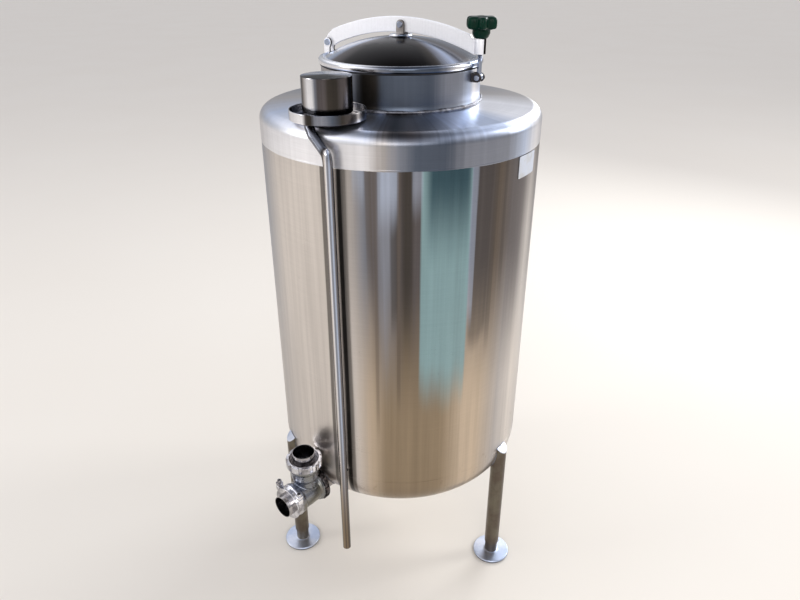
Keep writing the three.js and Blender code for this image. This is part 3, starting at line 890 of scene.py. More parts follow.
@dataclass(frozen=True)
class BlankLabel(Finish):
    """A blank white plastic label in a dim bluish white that is painted shade, faintly yellowed and scuffed.
    """

    def paint(self, graph: Graph) -> None:
        """Writes the finish into a graph."""
        at = graph.place()
        age = graph.noise(at, 35.0, 4.0, 0.6)
        scuff = graph.noise(at, (90.0, 90.0, 600.0), 3.0, 0.7).rise(0.6, 0.72)
        # The dim bluish white base is painted shade on a white label.
        tone = graph.blend(linear(194, 200, 212), linear(184, 184, 182), age.rise(0.45, 0.7) * 0.7)
        graph.finish(
            Base_Color=graph.blend(tone, linear(176, 176, 176), scuff * 0.35),
            Roughness=0.38 + age * 0.22 + scuff * 0.1,
            Normal=graph.relief(age * 0.6 + scuff * 0.4, 0.0004, 0.3),
        )


@dataclass(frozen=True)
class StudioFloor(Finish):
    """A plain pale floor."""

    def paint(self, graph: Graph) -> None:
        """Writes the finish into a graph."""
        x, y, _ = graph.place()
        cloud = graph.noise((x, y, 0.0), 0.9)
        tone = graph.blend(linear(232, 226, 217), linear(229, 222, 212), cloud)
        graph.finish(Base_Color=tone, Roughness=0.62 + cloud * 0.1, Specular_IOR_Level=0.3)


def bands(text: str) -> tuple[tuple[float, Tone], ...]:
    """Reads painted reflection tones around an axis, written in turn as a bearing in degrees and the tone's
    name.
    """
    words = text.split()
    return tuple((float(degrees), Tone[name]) for degrees, name in zip(words[::2], words[1::2]))


# Painted reflections, highlights and shade around each axis, as bearings in degrees and tones.
SHELL_LOW = bands("""
    -180 TAN -152 PALE -134 CREAM -119 CREAM -104 CREAM -98 SAND -91 TAN -78 TAN -68 TAN -58 SAND -50 SAND
    -38 PALE -26 CREAM -8 PALE 20 SAND 48 TAN 66 SAND 90 PALE 112 SAND 136 TAN 158 OLIVE 180 TAN
""")
SHELL_HIGH = bands("""
    -180 UMBER -158 COOL -140 CREAM -110 CREAM -103 PALE -99 COOL -95 SLATE -91 COOL -85.5 SLATE -82.5 DARK
    -79 SLATE -60 NAVY -56 SLATE -50 SLATE -46 UMBER -38 SLATE -30 SLATE -22 PALE -15 SLATE 4 COOL 16 UMBER
    34 PALE 58 SLATE 76 DARK 92 PALE 118 COOL 134 DARK 150 SLATE 166 PALE 180 UMBER
""")
HEAD_SKIRT = bands("""
    -180 PALE -140 WHITE -106 WHITE -98 WHITE -92 PALE -86 COOL -79 NAVY -70 NAVY -63 COOL -52 COOL -42 COOL
    -32 ICE -22 WHITE -4 COOL 30 PALE 80 COOL 130 PALE 180 PALE
""")
HEAD_FACE = bands("""
    -180 PALE -150 ICE -117 WHITE -97 ICE -92 SLATE -87 NIGHT -80 SLATE -73 COOL -66 ICE -56 ICE -44 ICE
    -30 WHITE -10 WHITE 20 PALE 60 COOL 100 ICE 150 COOL 180 PALE
""")
NECK = bands("""
    -180 COOL -150 PALE -125 COOL -118 COOL -112 DARK -103 DARK -97 NAVY -88 NAVY -76 NAVY -66 NAVY -52 COOL
    -40 COOL -30 ICE -24 WHITE -6 ICE 40 PALE 90 SLATE 140 PALE 180 COOL
""")
DOME = bands("""
    -180 ICE -165 WHITE -154 ICE -145 SLATE -130 NIGHT -100 NIGHT -68 NIGHT -57 DARK -50 COOL -44 ICE
    -38 COOL -28 SLATE -12 COOL 16 ICE 40 DARK 72 UMBER 92 CREAM 112 DARK 148 SLATE 180 ICE
""")
RIM = bands("""
    -180 ICE -160 WHITE -112 WHITE -98 COOL -88 NAVY -62 NAVY -54 COOL -46 WHITE -30 ICE -10 COOL 40 WHITE
    90 COOL 140 WHITE 180 ICE
""")
HOOD = bands("""
    -180 SLATE -162 COOL -149 SLATE -141 PALE -126 WHITE -114 WHITE -107 COOL -100 SLATE -86 SLATE -77 DARK
    -58 DARK -46 SLATE -36 SLATE -26 NIGHT 0 SLATE 30 PALE 60 DARK 110 SLATE 150 PALE 180 SLATE
""")
HOOD_CROWN = bands("""
    -180 ICE -164 COOL -146 DARK -128 NIGHT -50 NIGHT -28 DARK -8 COOL 14 ICE 50 WHITE 96 WHITE 130 ICE
    156 WHITE 180 ICE
""")
TRAY = bands("""
    -180 PALE -150 WHITE -134 WHITE -119 WHITE -114 SLATE -111 DARK -105 DARK -98 COOL -88 COOL -74 NAVY
    -60 DARK -44 SLATE -30 PALE -14 COOL 60 PALE 120 COOL 180 COOL
""")
# The drain's painted highlight on its left and painted shade on its right, with its painted reflections.
DRAIN_LOW = bands("""
    -180 TAN -150 DARK -134 TAN -116 TAN -104 TAN -88 UMBER -66 TAN -50 UMBER -36 UMBER -20 DARK 40 TAN
    110 UMBER 180 TAN
""")
DRAIN_HIGH = bands("""
    -180 COOL -150 DARK -138 SLATE -122 CREAM -106 WHITE -95 COOL -82 COOL -66 ICE -54 COOL -42 UMBER
    -32 COOL -20 DARK 40 COOL 110 SLATE 180 COOL
""")
# Painted reflection bands on the shell, each as bearing, half width, soft edge, start and full heights, tone
# and share.
SHELL_STREAKS = tuple(
    Streak(*sizes, tone, share)
    for *sizes, tone, share in (
        (-68.2, 8.9, 1.1, 0.72, 0.92, Tone.TEAL, 0.92),
        (-67.6, 6.0, 4.0, 1.18, 1.44, Tone.DEEP, 0.95),
        (-53.2, 3.2, 2.2, 0.92, 1.00, Tone.DARK, 0.45),
        (-90.6, 1.2, 1.2, 1.10, 1.30, Tone.COOL, 0.7),
        (-87.4, 0.9, 0.9, 0.96, 1.08, Tone.DARK, 0.55),
        (-82.6, 1.3, 1.2, 0.95, 1.20, Tone.DARK, 0.4),
        (-96.6, 0.8, 1.0, 1.00, 1.30, Tone.UMBER, 0.5),
        # Painted dark reflection and shadow of the drain pipe on the shell.
        (-106.8, 1.2, 1.0, 0.30, 0.40, Tone.DARK, 0.6),
        (-108.0, 0.6, 0.6, 0.30, 0.40, Tone.NIGHT, 0.8),
        (-114.8, 0.6, 0.6, 0.30, 0.40, Tone.DARK, 0.75),
        (112.0, 7.0, 2.0, 0.80, 0.95, Tone.NAVY, 0.6),
        (20.0, 4.0, 1.5, 0.95, 1.05, Tone.ICE, 0.5),
        (-89.2, 2.6, 1.6, 1.26, 1.40, Tone.ICE, 0.62),
        (-100.4, 1.6, 1.2, 1.30, 1.42, Tone.ICE, 0.4),
        (-79.0, 1.3, 1.0, 1.30, 1.42, Tone.ICE, 0.35),
        (-85.6, 0.5, 0.6, 0.70, 0.85, Tone.UMBER, 0.5),
        (-94.2, 0.5, 0.7, 0.62, 0.80, Tone.UMBER, 0.4),
        (-47.6, 0.7, 0.8, 0.86, 1.02, Tone.DARK, 0.4),
        (-42.4, 0.6, 0.8, 1.02, 1.20, Tone.DARK, 0.35),
        (-57.6, 0.9, 0.8, 0.98, 1.10, Tone.ICE, 0.35),
    )
)


@dataclass
class Palette:
    """The finishes of the tank.

    Attributes:
        axis: The tank's axis in the row, in metres.
        vent: The vent's axis in the row, in metres.
        drain: The drain's axis in the row, in metres.
        knob: The knob's axis in the row, in metres.
    """

    axis: tuple
    vent: tuple
    drain: tuple
    knob: tuple

    def __post_init__(self) -> None:
        """Names every finish."""
        self._round_work()
        self._plain_work()
        self.weld = Weld("weld_bead", BRUSHED)
        self.rubber = Rubber("black_rubber", "black_rubber")
        self.green = MouldedGreen("green_knob", "green_plastic", self.knob)
        self.label = BlankLabel("blank_label", "white_label")

    def _round_work(self) -> None:
        """Names the finishes whose painted reflections and shade change around an axis."""
        axis, vent = self.axis, self.vent
        self.shell = Banded(
            "rolled_shell_sheet", BRUSHED, axis, SHELL_LOW, SHELL_HIGH, soil=0.5, streaks=SHELL_STREAKS
        )
        self.head = Banded(
            "satin_head", SATIN, axis, HEAD_SKIRT, HEAD_FACE, 1.505, 1.546, 0.02, 0.2, 0.33, 0.3, 260.0, 0.2,
            glance=0.85,
        )
        self.tube = Banded(
            "brushed_tube", BRUSHED, self.drain, DRAIN_LOW, DRAIN_HIGH, 0.25, 0.75, 0.006, 0.3, 0.22, 0.2,
            500.0, 0.2,
        )
        self.neck = self._turned("satin_neck", axis, NECK, 0.36, 0.24, 0.4, slot=SATIN, lines=500.0)
        self.lid = self._turned("spun_lid", axis, DOME, 0.2, 0.2, 0.5, glance=0.72)
        self.rim = self._turned("spun_rim", axis, RIM, 0.18, 0.15, 0.4)
        self.hood = self._turned("polished_hood", vent, HOOD, 0.16, 0.3, 0.3, waver=0.006, glance=0.62)
        self.crown = self._turned(
            "hood_crown", vent, HOOD_CROWN, 0.2, 0.1, 0.0, waver=0.01, glance=0.4, metal=0.75
        )
        self.tray = self._turned("polished_tray", vent, TRAY, 0.17, 0.3, 0.3, waver=0.01, glance=0.8)

    def _turned(
        self, label: str, axis: tuple, tones: tuple, rough: float, streak: float, stretch: float,
        **more: object,
    ) -> Banded:
        """Names a banded finish whose painted reflection tones hold over its whole height.

        Args:
            label: The material's name.
            axis: The axis in the row, in metres.
            tones: Painted reflection tones by bearing, as (degrees, tone).
            rough: Mean roughness.
            streak: How strong the fine upright painted reflection streaks are.
            stretch: Stretch of the highlights.
            **more: Other attributes of the finish.

        Returns:
            The finish.
        """
        settings = {"slot": POLISHED, "waver": 0.012, "lines": 900.0, **more}
        return Banded(
            label, axis=axis, low=tones, roughness=rough, streak=streak, anisotropic=stretch, **settings
        )

    def _plain_work(self) -> None:
        """Names the steel finishes that don't change around an axis."""
        t = Tone
        around, upright, cloudy = Grain.AROUND, Grain.UPRIGHT, Grain.CLOUDY
        self.bright = Steel(
            "bright_bar", POLISHED, t.WHITE, t.WHITE, 0.42, 0.06, upright, 0.12, 0.3, metal=0.4
        )
        self.mirror = Steel("polished_fitting", POLISHED, t.PALE, t.COOL, 0.14, 0.05, around, 0.1, 0.4)
        self.plain = Steel("brushed_fitting", BRUSHED, t.PALE, t.SLATE, 0.28, 0.08, around, 0.2, 0.5)
        self.leg = Steel("satin_leg", SATIN, t.UMBER, t.OLIVE, 0.32, 0.04, upright, 0.35, 0.4, brush=0.5)
        self.inside = Steel("ground_inside", SATIN, t.PALE, t.COOL, 0.26, 0.06, cloudy, 0.15, 0.5)
        self.foot = Steel("foot_disc", POLISHED, t.ICE, t.WHITE, 0.36, 0.08, cloudy, 0.2, 0.5)
        # Near-black painted shade for plate edges and the inside of the sleeve.
        self.edge = Steel("cut_edge", BRUSHED, t.NIGHT, t.UMBER, 0.5, 0.08, cloudy, 0.5, 0.3)
        self.stained = Steel(
            "stained_fitting", BRUSHED, t.COOL, t.OLIVE, 0.27, 0.1, cloudy, 0.3, 0.8, soil=0.35
        )
        self.nut = Steel("bright_nut", POLISHED, t.WHITE, t.SLATE, 0.13, 0.06, cloudy, 0.2, 0.9, soil=0.3)
        # Painted shade: a darkened copy of the bright nut for the union nut in shadow by the tank, with brown
        # film patches.
        self.dark_nut = Steel("dulled_nut", BRUSHED, t.SLATE, t.NIGHT, 0.2, 0.08, cloudy, 0.3, 0.9, soil=0.5)
        self.screw = Steel("bright_screw", POLISHED, t.ICE, t.SLATE, 0.12, 0.05, around, 0.2, 0.5)
        self.dull = Steel("dull_lug", BRUSHED, t.SLATE, t.DARK, 0.34, 0.08, cloudy, 0.3, 0.8)


# Sub-assemblies.


@dataclass(frozen=True)
class Knuckle:
    """Outside of the bottom head's knuckle: a quarter ellipse turned about the tank's axis.

    Attributes:
        flat: Radius where it starts, in millimetres.
        run: Its width.
        top: Height of its upper end.
        drop: Its depth.
    """

    flat: float = 315.0
    run: float = 85.0
    top: float = 470.0
    drop: float = 112.0

    def height(self, far: Array) -> Array:
        """Returns its height at a radius: top - drop sqrt(1 - ((far - flat) / run)^2)."""
        return self.top - self.drop * np.sqrt(1 - np.clip((far - self.flat) / self.run, 0, 1) ** 2)

    def radius(self, z: Array) -> Array:
        """Returns its radius at a height: flat + run sqrt(1 - ((top - z) / drop)^2)."""
        return self.flat + self.run * np.sqrt(1 - np.clip((self.top - z) / self.drop, 0, 1) ** 2)


KNUCKLE = Knuckle()
SHELL_R = 400.0
HINGE = (-241.0, 1684.0)
BOLT = (239.5, 1622.0)


@dataclass
class SubAssembly(ABC):
    """Pieces that share a seat and a body.

    Attributes:
        seat: Where local millimetres are carried to.
        finishes: The tank's finishes.
        body: The body that the pieces ride on.
        made: The pieces made so far.
    """

    seat: Seat
    finishes: Palette
    body: str = "tank"
    made: list[bpy.types.Object] = field(default_factory=list)

    @abstractmethod
    def build(self) -> None:
        """Builds and dresses every piece."""

    def keep(self, skin: Skin, name: str, finish: Finish, node: str = "") -> bpy.types.Object:
        """Makes a piece, dresses it and lets it ride.

        Args:
            skin: The gathered surfaces.
            name: The piece's name.
            finish: Its finish.
            node: CAD node that it stands for; none for a piece of the scene's own.

        Returns:
            The piece.
        """
        piece = skin.piece(name)
        piece.data.materials.append(finish.material())
        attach(piece, self.body)
        if node:
            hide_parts(node)
        self.made.append(piece)
        LOG.info("%s: %d faces on %s", name, len(piece.data.polygons), self.body)
        return piece

    def make(
        self, name: str, finish: Finish, node: str, *grids: Array, ring: bool = False
    ) -> bpy.types.Object:
        """Makes a piece of grids at this seat.

        Args:
            name: The piece's name.
            finish: Its finish.
            node: CAD node that it stands for; none for a piece of the scene's own.
            *grids: Its surfaces, in local millimetres.
            ring: Whether each grid's last row joins its first.

        Returns:
            The piece.
        """
        skin = Skin(self.seat)
        for grid in grids:
            skin.add(grid, ring)
        return self.keep(skin, name, finish, node)

    def pair(self, name: str, finish: Finish, node: str, outline: Array, near: float, far: float) -> None:
        """Makes two upright plates with painted shade on their edges, one at each side of the local XZ plane.

        Args:
            name: Their name, without the side.
            finish: Their finish.
            node: Name of the CAD nodes that they stand for, without the side.
            outline: Their outline in the XZ plane.
            near: Distance of their inner faces from the plane.
            far: Distance of their outer faces from it.
        """
        for side, low, high in (("front", -far, -near), ("rear", near, far)):
            grid = standing(plate(outline, low, high, 0.7))
            piece = self.make(f"{name}_{side}", finish, f"{node}_{side}", grid)
            # The plates' edges take the painted shade.
            self.second_finish(piece, self.finishes.edge, self._rim_of_upright_plate)

    @staticmethod
    def _rim_of_upright_plate(at: Array, normal: Array) -> Array:
        """Says which faces have a normal that leaves local Y by 35 degrees."""
        return np.abs(normal[:, 1]) < 0.82

    def second_finish(
        self, piece: bpy.types.Object, finish: Finish, chosen: Callable[[Array, Array], Array]
    ) -> None:
        """Gives some of a piece's faces another finish.

        Args:
            piece: The piece.
            finish: The other finish.
            chosen: Says which faces, from their local centres in millimetres and normals.
        """
        mesh = piece.data
        mesh.materials.append(finish.material())
        at, normal = (np.empty(len(mesh.polygons) * 3, np.float32) for _ in range(2))
        index = np.empty(len(mesh.polygons), np.int32)
        mesh.polygons.foreach_get("center", at)
        mesh.polygons.foreach_get("normal", normal)
        mesh.polygons.foreach_get("material_index", index)
        a = math.radians(self.seat.turn)
        back = np.array([[math.cos(a), -math.sin(a), 0], [math.sin(a), math.cos(a), 0], [0, 0, 1]])
        local = (at.reshape(-1, 3) / MM - np.array([self.seat.x, self.seat.y, self.seat.z])) @ back
        index[chosen(local, normal.reshape(-1, 3) @ back)] = len(mesh.materials) - 1
        mesh.polygons.foreach_set("material_index", index)


@dataclass
class TankBody(SubAssembly):
    """Shell, heads, seams and label."""

    radius: float = SHELL_R
    wall: float = 4.0
    shell_low: float = 473.0
    shell_high: float = 1450.0
    knuckle_z: float = 1506.0
    knuckle_run: float = 34.0
    knuckle_rise: float = 33.0
    face_z: float = 1549.0
    neck_r: float = 222.0
    bottom_centre: float = 344.0
    bottom_flat_r: float = 160.0
    bottom_flat_rise: float = 7.0
    seam_gap: float = 0.3
    label_from: float = -35.1
    label_to: float = -21.9
    label_low: float = 1387.0
    label_high: float = 1446.0

    def build(self) -> None:
        """Builds and dresses every piece."""
        self._shell()
        self._top_head()
        self._bottom_head()
        self._seams()
        self._label()

    def _shell(self) -> None:
        """Rolled sheet: its outer radius carries slow waves, all under half a millimetre.

        Each wave is 0.13 sin(k a + p + 0.5 sin(m z / 160 + q)), with random phases p and q.
        """
        z = np.linspace(self.shell_low, self.shell_high, 56)
        a = around(288)
        rng = np.random.default_rng(5)
        wave = np.zeros((len(z), len(a)))
        for k, m in ((2, 1.3), (3, 2.1), (5, 0.7), (7, 2.6), (11, 1.1)):
            p, q = rng.uniform(0, TURN, 2)
            wave += 0.13 * np.sin(k * a[None] + p + 0.5 * np.sin(m * z[:, None] / 160.0 + q))
        pull = np.exp(-(((self.shell_high - z) / 14.0) ** 2)) + np.exp(-(((z - self.shell_low) / 14.0) ** 2))
        outer = self.radius - 0.1 + wave * 0.6 - 0.5 * pull[:, None]
        inner = np.full((2, len(a)), self.radius - self.wall)
        heights = np.concatenate([z, [self.shell_high, self.shell_low]])[:, None]
        grid = polar(np.concatenate([outer, inner]), a, heights)
        self.make("shell_sheet", self.finishes.shell, "shell", grid, ring=True)

    def _top_head(self) -> None:
        """Pressed head: knuckle, then a faint crown up to the neck, turned about the axis."""
        r, w, run, rise = self.radius, self.wall, self.knuckle_run, self.knuckle_rise
        foot, throat = self.shell_high + self.seam_gap, self.neck_r - w
        knuckle = quarter(r, self.knuckle_z, run, rise)
        t = np.linspace(0.0, 1.0, 26)[1:]
        start, stop = knuckle[-1], np.array([self.neck_r, self.face_z])
        crown = start + (stop - start) * t[:, None] + np.stack([0 * t, 1.2 * np.sin(math.pi * t)], -1)
        inner = quarter(r - w, self.knuckle_z, run - w, rise - w)[::-1]
        profile = np.concatenate([
            [[r, foot]],
            knuckle,
            crown,
            [[throat, self.face_z], [throat, self.face_z - w]],
            inner,
            [[r - w, foot]],
        ])
        self.make("head_pressing", self.finishes.head, "top_head", revolve(profile, 288), ring=True)

    def _bottom_head(self) -> None:
        """Dished bottom: knuckle and shallow cone, turned about the axis."""
        r, w, top = self.radius, self.wall, self.shell_low - self.seam_gap
        k, centre, flat_r, rise = KNUCKLE, self.bottom_centre, self.bottom_flat_r, self.bottom_flat_rise
        profile = np.concatenate([
            [[0, centre], [flat_r, centre + rise]],
            quarter(r, k.top, k.run, -k.drop, 24)[::-1],
            [[r, top], [r - w, top]],
            quarter(r - w, k.top, k.run - w, -(k.drop - w), 24),
            [[flat_r, centre + rise + w], [0, centre + w]],
        ])
        self.make("bottom_pressing", self.finishes.shell, "bottom_head", revolve(profile, 288))

    def _seams(self) -> None:
        """Flush ground seams: flat beads around the shell at both heads."""
        half_gap = self.seam_gap / 2
        for name, z, finish in (
            ("top_seam", self.shell_high + half_gap, self.finishes.head),
            ("bottom_seam", self.shell_low - half_gap, self.finishes.shell),
        ):
            path = polar(self.radius - 0.55, around(540), z)
            self.make(name, finish, "", bead(path, UP, 0.75, 2.4, 180, 11), ring=True)

    def _label(self) -> None:
        """Label plate: a thin section carried along the shell's arc.

        Its half height is drawn in near both ends by c - sqrt(c^2 - (c - d)^2), where d is
        the distance from the end and c the corner radius.
        """
        a0, a1 = math.radians(self.label_from), math.radians(self.label_to)
        r, corner, thick = self.radius + 0.3, 3.0, 1.2
        width, height = r * (a1 - a0), self.label_high - self.label_low
        ends = corner * (1 - np.cos(np.linspace(0.05, math.pi / 2, 7)))
        d = np.concatenate([ends, np.linspace(corner, width - corner, 24)[1:-1], (width - ends)[::-1]])
        near = np.clip(corner - np.minimum(d, width - d), 0, corner)
        tall = height / 2 - corner + np.sqrt(corner**2 - near**2)
        edge = eased([(0, -1), (thick, -1), (thick, 1), (0, 1)], [0.2, 0.35, 0.35, 0.2], 3)
        middle = (self.label_low + self.label_high) / 2
        grid = polar(r + edge[None, :, 0], (a0 + d / r)[:, None], edge[None, :, 1] * tall[:, None] + middle)
        self.make("label_blank", self.finishes.label, "label_plate", grid)


@dataclass
class ManwayNeck(SubAssembly):
    """Neck, weld, gasket and the fittings that stay with the tank."""

    radius: float = 222.0
    wall: float = 4.0
    base: float = 1549.3
    top: float = 1641.0
    clearance: float = 0.15
    ear_near: float = 7.3
    ear_far: float = 13.3
    ear_r: float = 12.8
    lug_r: float = 11.5
    pin_half: float = 13.6

    def build(self) -> None:
        """Builds and dresses every piece."""
        f, r, w, base, top = self.finishes, self.radius, self.wall, self.base, self.top
        neck = [(r - w, base), (r + 6, base), (r + 2.2, base + 4), (r, base + 14), (r, top), (r - w, top)]
        self.make("neck_ring", f.neck, "manway_neck", spun(neck, [0.5, 1, 4, 8, 1.2, 1.2], 6, 240), ring=True)
        path = polar(r + 4.0, around(1500), base + 2.0)
        self.make("neck_weld", f.weld, "", bead(path, UP, 5.2, 4.4, 96, 3), ring=True)
        seal = [(r - 8, top + 0.3), (r + 2, top + 0.3), (r + 2, top + 3.7), (r - 8, top + 3.7)]
        self.make("seal_ring", f.rubber, "lid_gasket", spun(seal, 1.4, 4, 180), ring=True)
        self._hinge()
        self._lugs()

    def _hinge(self) -> None:
        """Hinge ears from the neck up to the beam's pin, with the pin and the ears' welds."""
        f, wall = self.finishes, self.radius + self.clearance
        foot = [(-253, 1640), (-238, 1580), (-wall, 1572), (-wall, 1632), (-234, 1642), (-234, 1668)]
        outline = np.concatenate([
            arc(*HINGE, self.ear_r, -25, 190, 40), eased(foot, [10, 8, 1, 1, 8, 3], 6, False),
        ])
        self.pair("hinge_plate", f.bright, "hinge_ear", outline, self.ear_near, self.ear_far)
        self.make("hinge_bolt", f.screw, "hinge_pin", headed_pin(*HINGE, 6.0, self.pin_half, 9.0, 3.0))
        for side, y in (("front", -self.pin_half), ("rear", self.pin_half)):
            path = np.stack([np.full(60, -222.6), np.full(60, y), np.linspace(1574, 1630, 60)], -1)
            weld = bead(path, np.array([-1.0, 0, 0]), 2.2, 1.8, 40, 8, False)
            self.make(f"hinge_weld_{side}", f.weld, "", weld)

    def _lugs(self) -> None:
        """Lugs and pin that the swing bolt turns on."""
        (x, z), r, wall = BOLT, self.lug_r, self.radius + self.clearance
        outline = np.concatenate([[(wall, z + r), (wall, z - r)], arc(x, z, r, -90, 90, 36)])
        self.pair("bolt_plate", self.finishes.dull, "bolt_lug", outline, self.ear_near, self.ear_far)
        pivot = headed_pin(x, z, 5.0, self.pin_half, 7.0, 4.0)
        self.make("bolt_pivot", self.finishes.screw, "bolt_pin", pivot)


@dataclass
class LidAndBeam(SubAssembly):
    """Domed lid, clamp beam and what lifts with them."""

    body: str = "lid"
    rim_r: float = 228.0
    rim_low: float = 1645.0
    rim_high: float = 1663.0
    dome_r: float = 208.0
    dome_power: float = 2.3
    apex: float = 1712.0
    sheet: float = 4.0
    boss_r: float = 30.0
    boss_z: float = 1718.0
    beam_t: float = 12.0
    beam_half: float = 228.0
    beam_top: float = 1762.0
    beam_bottom: float = 1723.0
    beam_drop: float = 43.0
    centre: tuple = (4.0, 1742.0)
    sleeve_r: float = 14.0
    sleeve_gap: float = 6.8
    sleeve_low: float = 1680.0
    sleeve_high: float = 1718.5
    bolt_r: float = 6.0

    def build(self) -> None:
        """Builds and dresses every piece."""
        self._lid()
        self._beam()
        self._centre_ears()
        self._sleeve()
        self._bolt()

    def _dome(self, r: Array) -> Array:
        """Returns the dome's height at a radius: the apex less a power law that reaches the rim."""
        low = self.rim_high - 1.5
        return low + (self.apex - low) * (1 - (np.asarray(r, float) / self.dome_r) ** self.dome_power)

    def _lid(self) -> None:
        """Spun lid: rolled rim, shallow groove, dome and boss, turned about the manway's axis."""
        r, low, high, edge = self.rim_r, self.rim_low, self.rim_high, self.boss_r + 5
        rim = [
            (r - 16, low), (r - 3, low), (r, low + 4), (r, low + 12), (r - 4, high - 1), (r - 13, high),
            (self.dome_r, high - 1.5),
        ]
        boss = [
            (edge, float(self._dome(edge))), (self.boss_r + 0.6, self.boss_z - 3.4),
            (self.boss_r, self.boss_z), (0, self.boss_z),
        ]
        under, over = np.linspace(0, self.dome_r - 2, 24), np.linspace(self.dome_r - 4, edge, 40)
        profile = np.concatenate([
            np.stack([under, self._dome(under) - self.sheet], -1),
            eased(rim, [0.8, 3, 4, 6, 6, 6, 0], 8, False),
            np.stack([over, self._dome(over)], -1),
            eased(boss, [0, 2, 1.4, 0], 5, False),
        ])
        lid = self.make("lid_dome", self.finishes.lid, "lid", revolve(profile, 288))
        self.second_finish(lid, self.finishes.rim, self._rim_or_boss)
        self.second_finish(lid, self.finishes.inside, self._underside)

    def _rim_or_boss(self, at: Array, normal: Array) -> Array:
        """Says which faces lie on the rolled rim or on the boss."""
        far = np.hypot(at[:, 0], at[:, 1])
        return (far > self.dome_r - 1.0) | ((far < self.boss_r + 2) & (at[:, 2] > self.boss_z - 6))

    def _underside(self, at: Array, normal: Array) -> Array:
        """Says which faces look down from inside the rim."""
        return (normal[:, 2] < -0.3) & (np.hypot(at[:, 0], at[:, 1]) < self.dome_r - 1.5)

    def _beam(self) -> None:
        """Arched bar on edge: top and bottom are parabolas z = top - drop (x / half)^2."""
        x = np.linspace(206, -226, 60)
        top = np.stack([x, self.beam_top - self.beam_drop * (x / self.beam_half) ** 2], -1)
        x = np.linspace(-210, 224.9, 60)
        bottom = np.stack([x, self.beam_bottom - (self.beam_drop + 4) * (x / self.beam_half) ** 2], -1)
        outline = np.concatenate([
            eased([bottom[-1], (224.9, 1714.5), (216, 1717), (210, 1725)], [1.5, 3, 3, 1], 4, False),
            top,
            eased([(-232, 1714), (-242, 1706.5), (-252, 1693)], [4, 7, 4], 6, False),
            arc(*HINGE, 12.8, 172, 285, 24),
            [(-224, 1675)],
            bottom[:-1],
        ])
        bar = standing(plate(outline, -self.beam_t / 2, self.beam_t / 2, 1.8, 4))
        self.make("beam_bar", self.finishes.bright, "lid_beam", bar)

    def _centre_ears(self) -> None:
        """Ears on the boss either side of the beam, and the pin through them."""
        (x, z), low = self.centre, self.boss_z + 0.3
        foot = eased([(x - 12, low), (x + 12, low)], 1, 2, False)
        outline = np.concatenate([foot, arc(x, z, 12.0, 0, 180, 36)])
        self.pair("centre_plate", self.finishes.plain, "centre_ear", outline, 7.3, 12.3)
        self.make("centre_bolt", self.finishes.screw, "centre_pin", headed_pin(x, z, 5.0, 12.6, 8.0, 4.0))

    def _sleeve(self) -> None:
        """Slotted sleeve: a C outline stood up to a slanted top."""
        r, gap, low, high = self.sleeve_r, self.sleeve_gap, self.sleeve_low, self.sleeve_high
        lip = math.degrees(math.asin(gap / r))
        outline = np.concatenate([
            arc(0, 0, r, lip, 360 - lip, 60), [(3.0, -gap)], arc(0, 0, gap, 270, 90, 24), [(3.0, gap)],
        ])
        grid = plate(outline, low, high, 0.7)
        rise = (grid[..., 2] - low) / (high - low)
        grid[..., 2] -= rise * np.maximum(grid[..., 0], 0) * 0.095
        grid[..., 0] += BOLT[0]
        sleeve = self.make("clamp_sleeve_tube", self.finishes.bright, "clamp_sleeve", grid)
        # The faces inside the sleeve take the painted shade.
        self.second_finish(sleeve, self.finishes.edge, self._inside_sleeve)

    def _inside_sleeve(self, at: Array, normal: Array) -> Array:
        """Says which faces lie inside the sleeve's outer wall."""
        return np.hypot(at[:, 0] - BOLT[0], at[:, 1]) < self.sleeve_r - 0.4

    def _bolt(self) -> None:
        """Swing bolt: threaded shank above an eye that is open downwards over its pivot."""
        (x, z), r, mouth = BOLT, self.bolt_r, 5.3
        outline = np.concatenate([
            arc(x, z, 10.5, -20, 200, 40), [(x - mouth - 1.4, z - 5.4)],
            arc(x, z, mouth, 180, 0, 24), [(x + mouth + 0.4, z - 5.4)],
        ])
        eye = standing(plate(outline, -6.0, 6.0, 0.8))
        shank = spun_solid([(0, z + 8.5), (r, z + 8.5), (r, 1664), (0, 1664)], [0, 0.5, 1.0, 0], 3, 40)
        screw = thread(r, 0.75, 1.75, 1663.0, 1752.0)
        shift = np.array([x, 0.0, 0.0])
        self.make("eye_bolt", self.finishes.screw, "swing_bolt", eye, shank + shift, screw + shift)


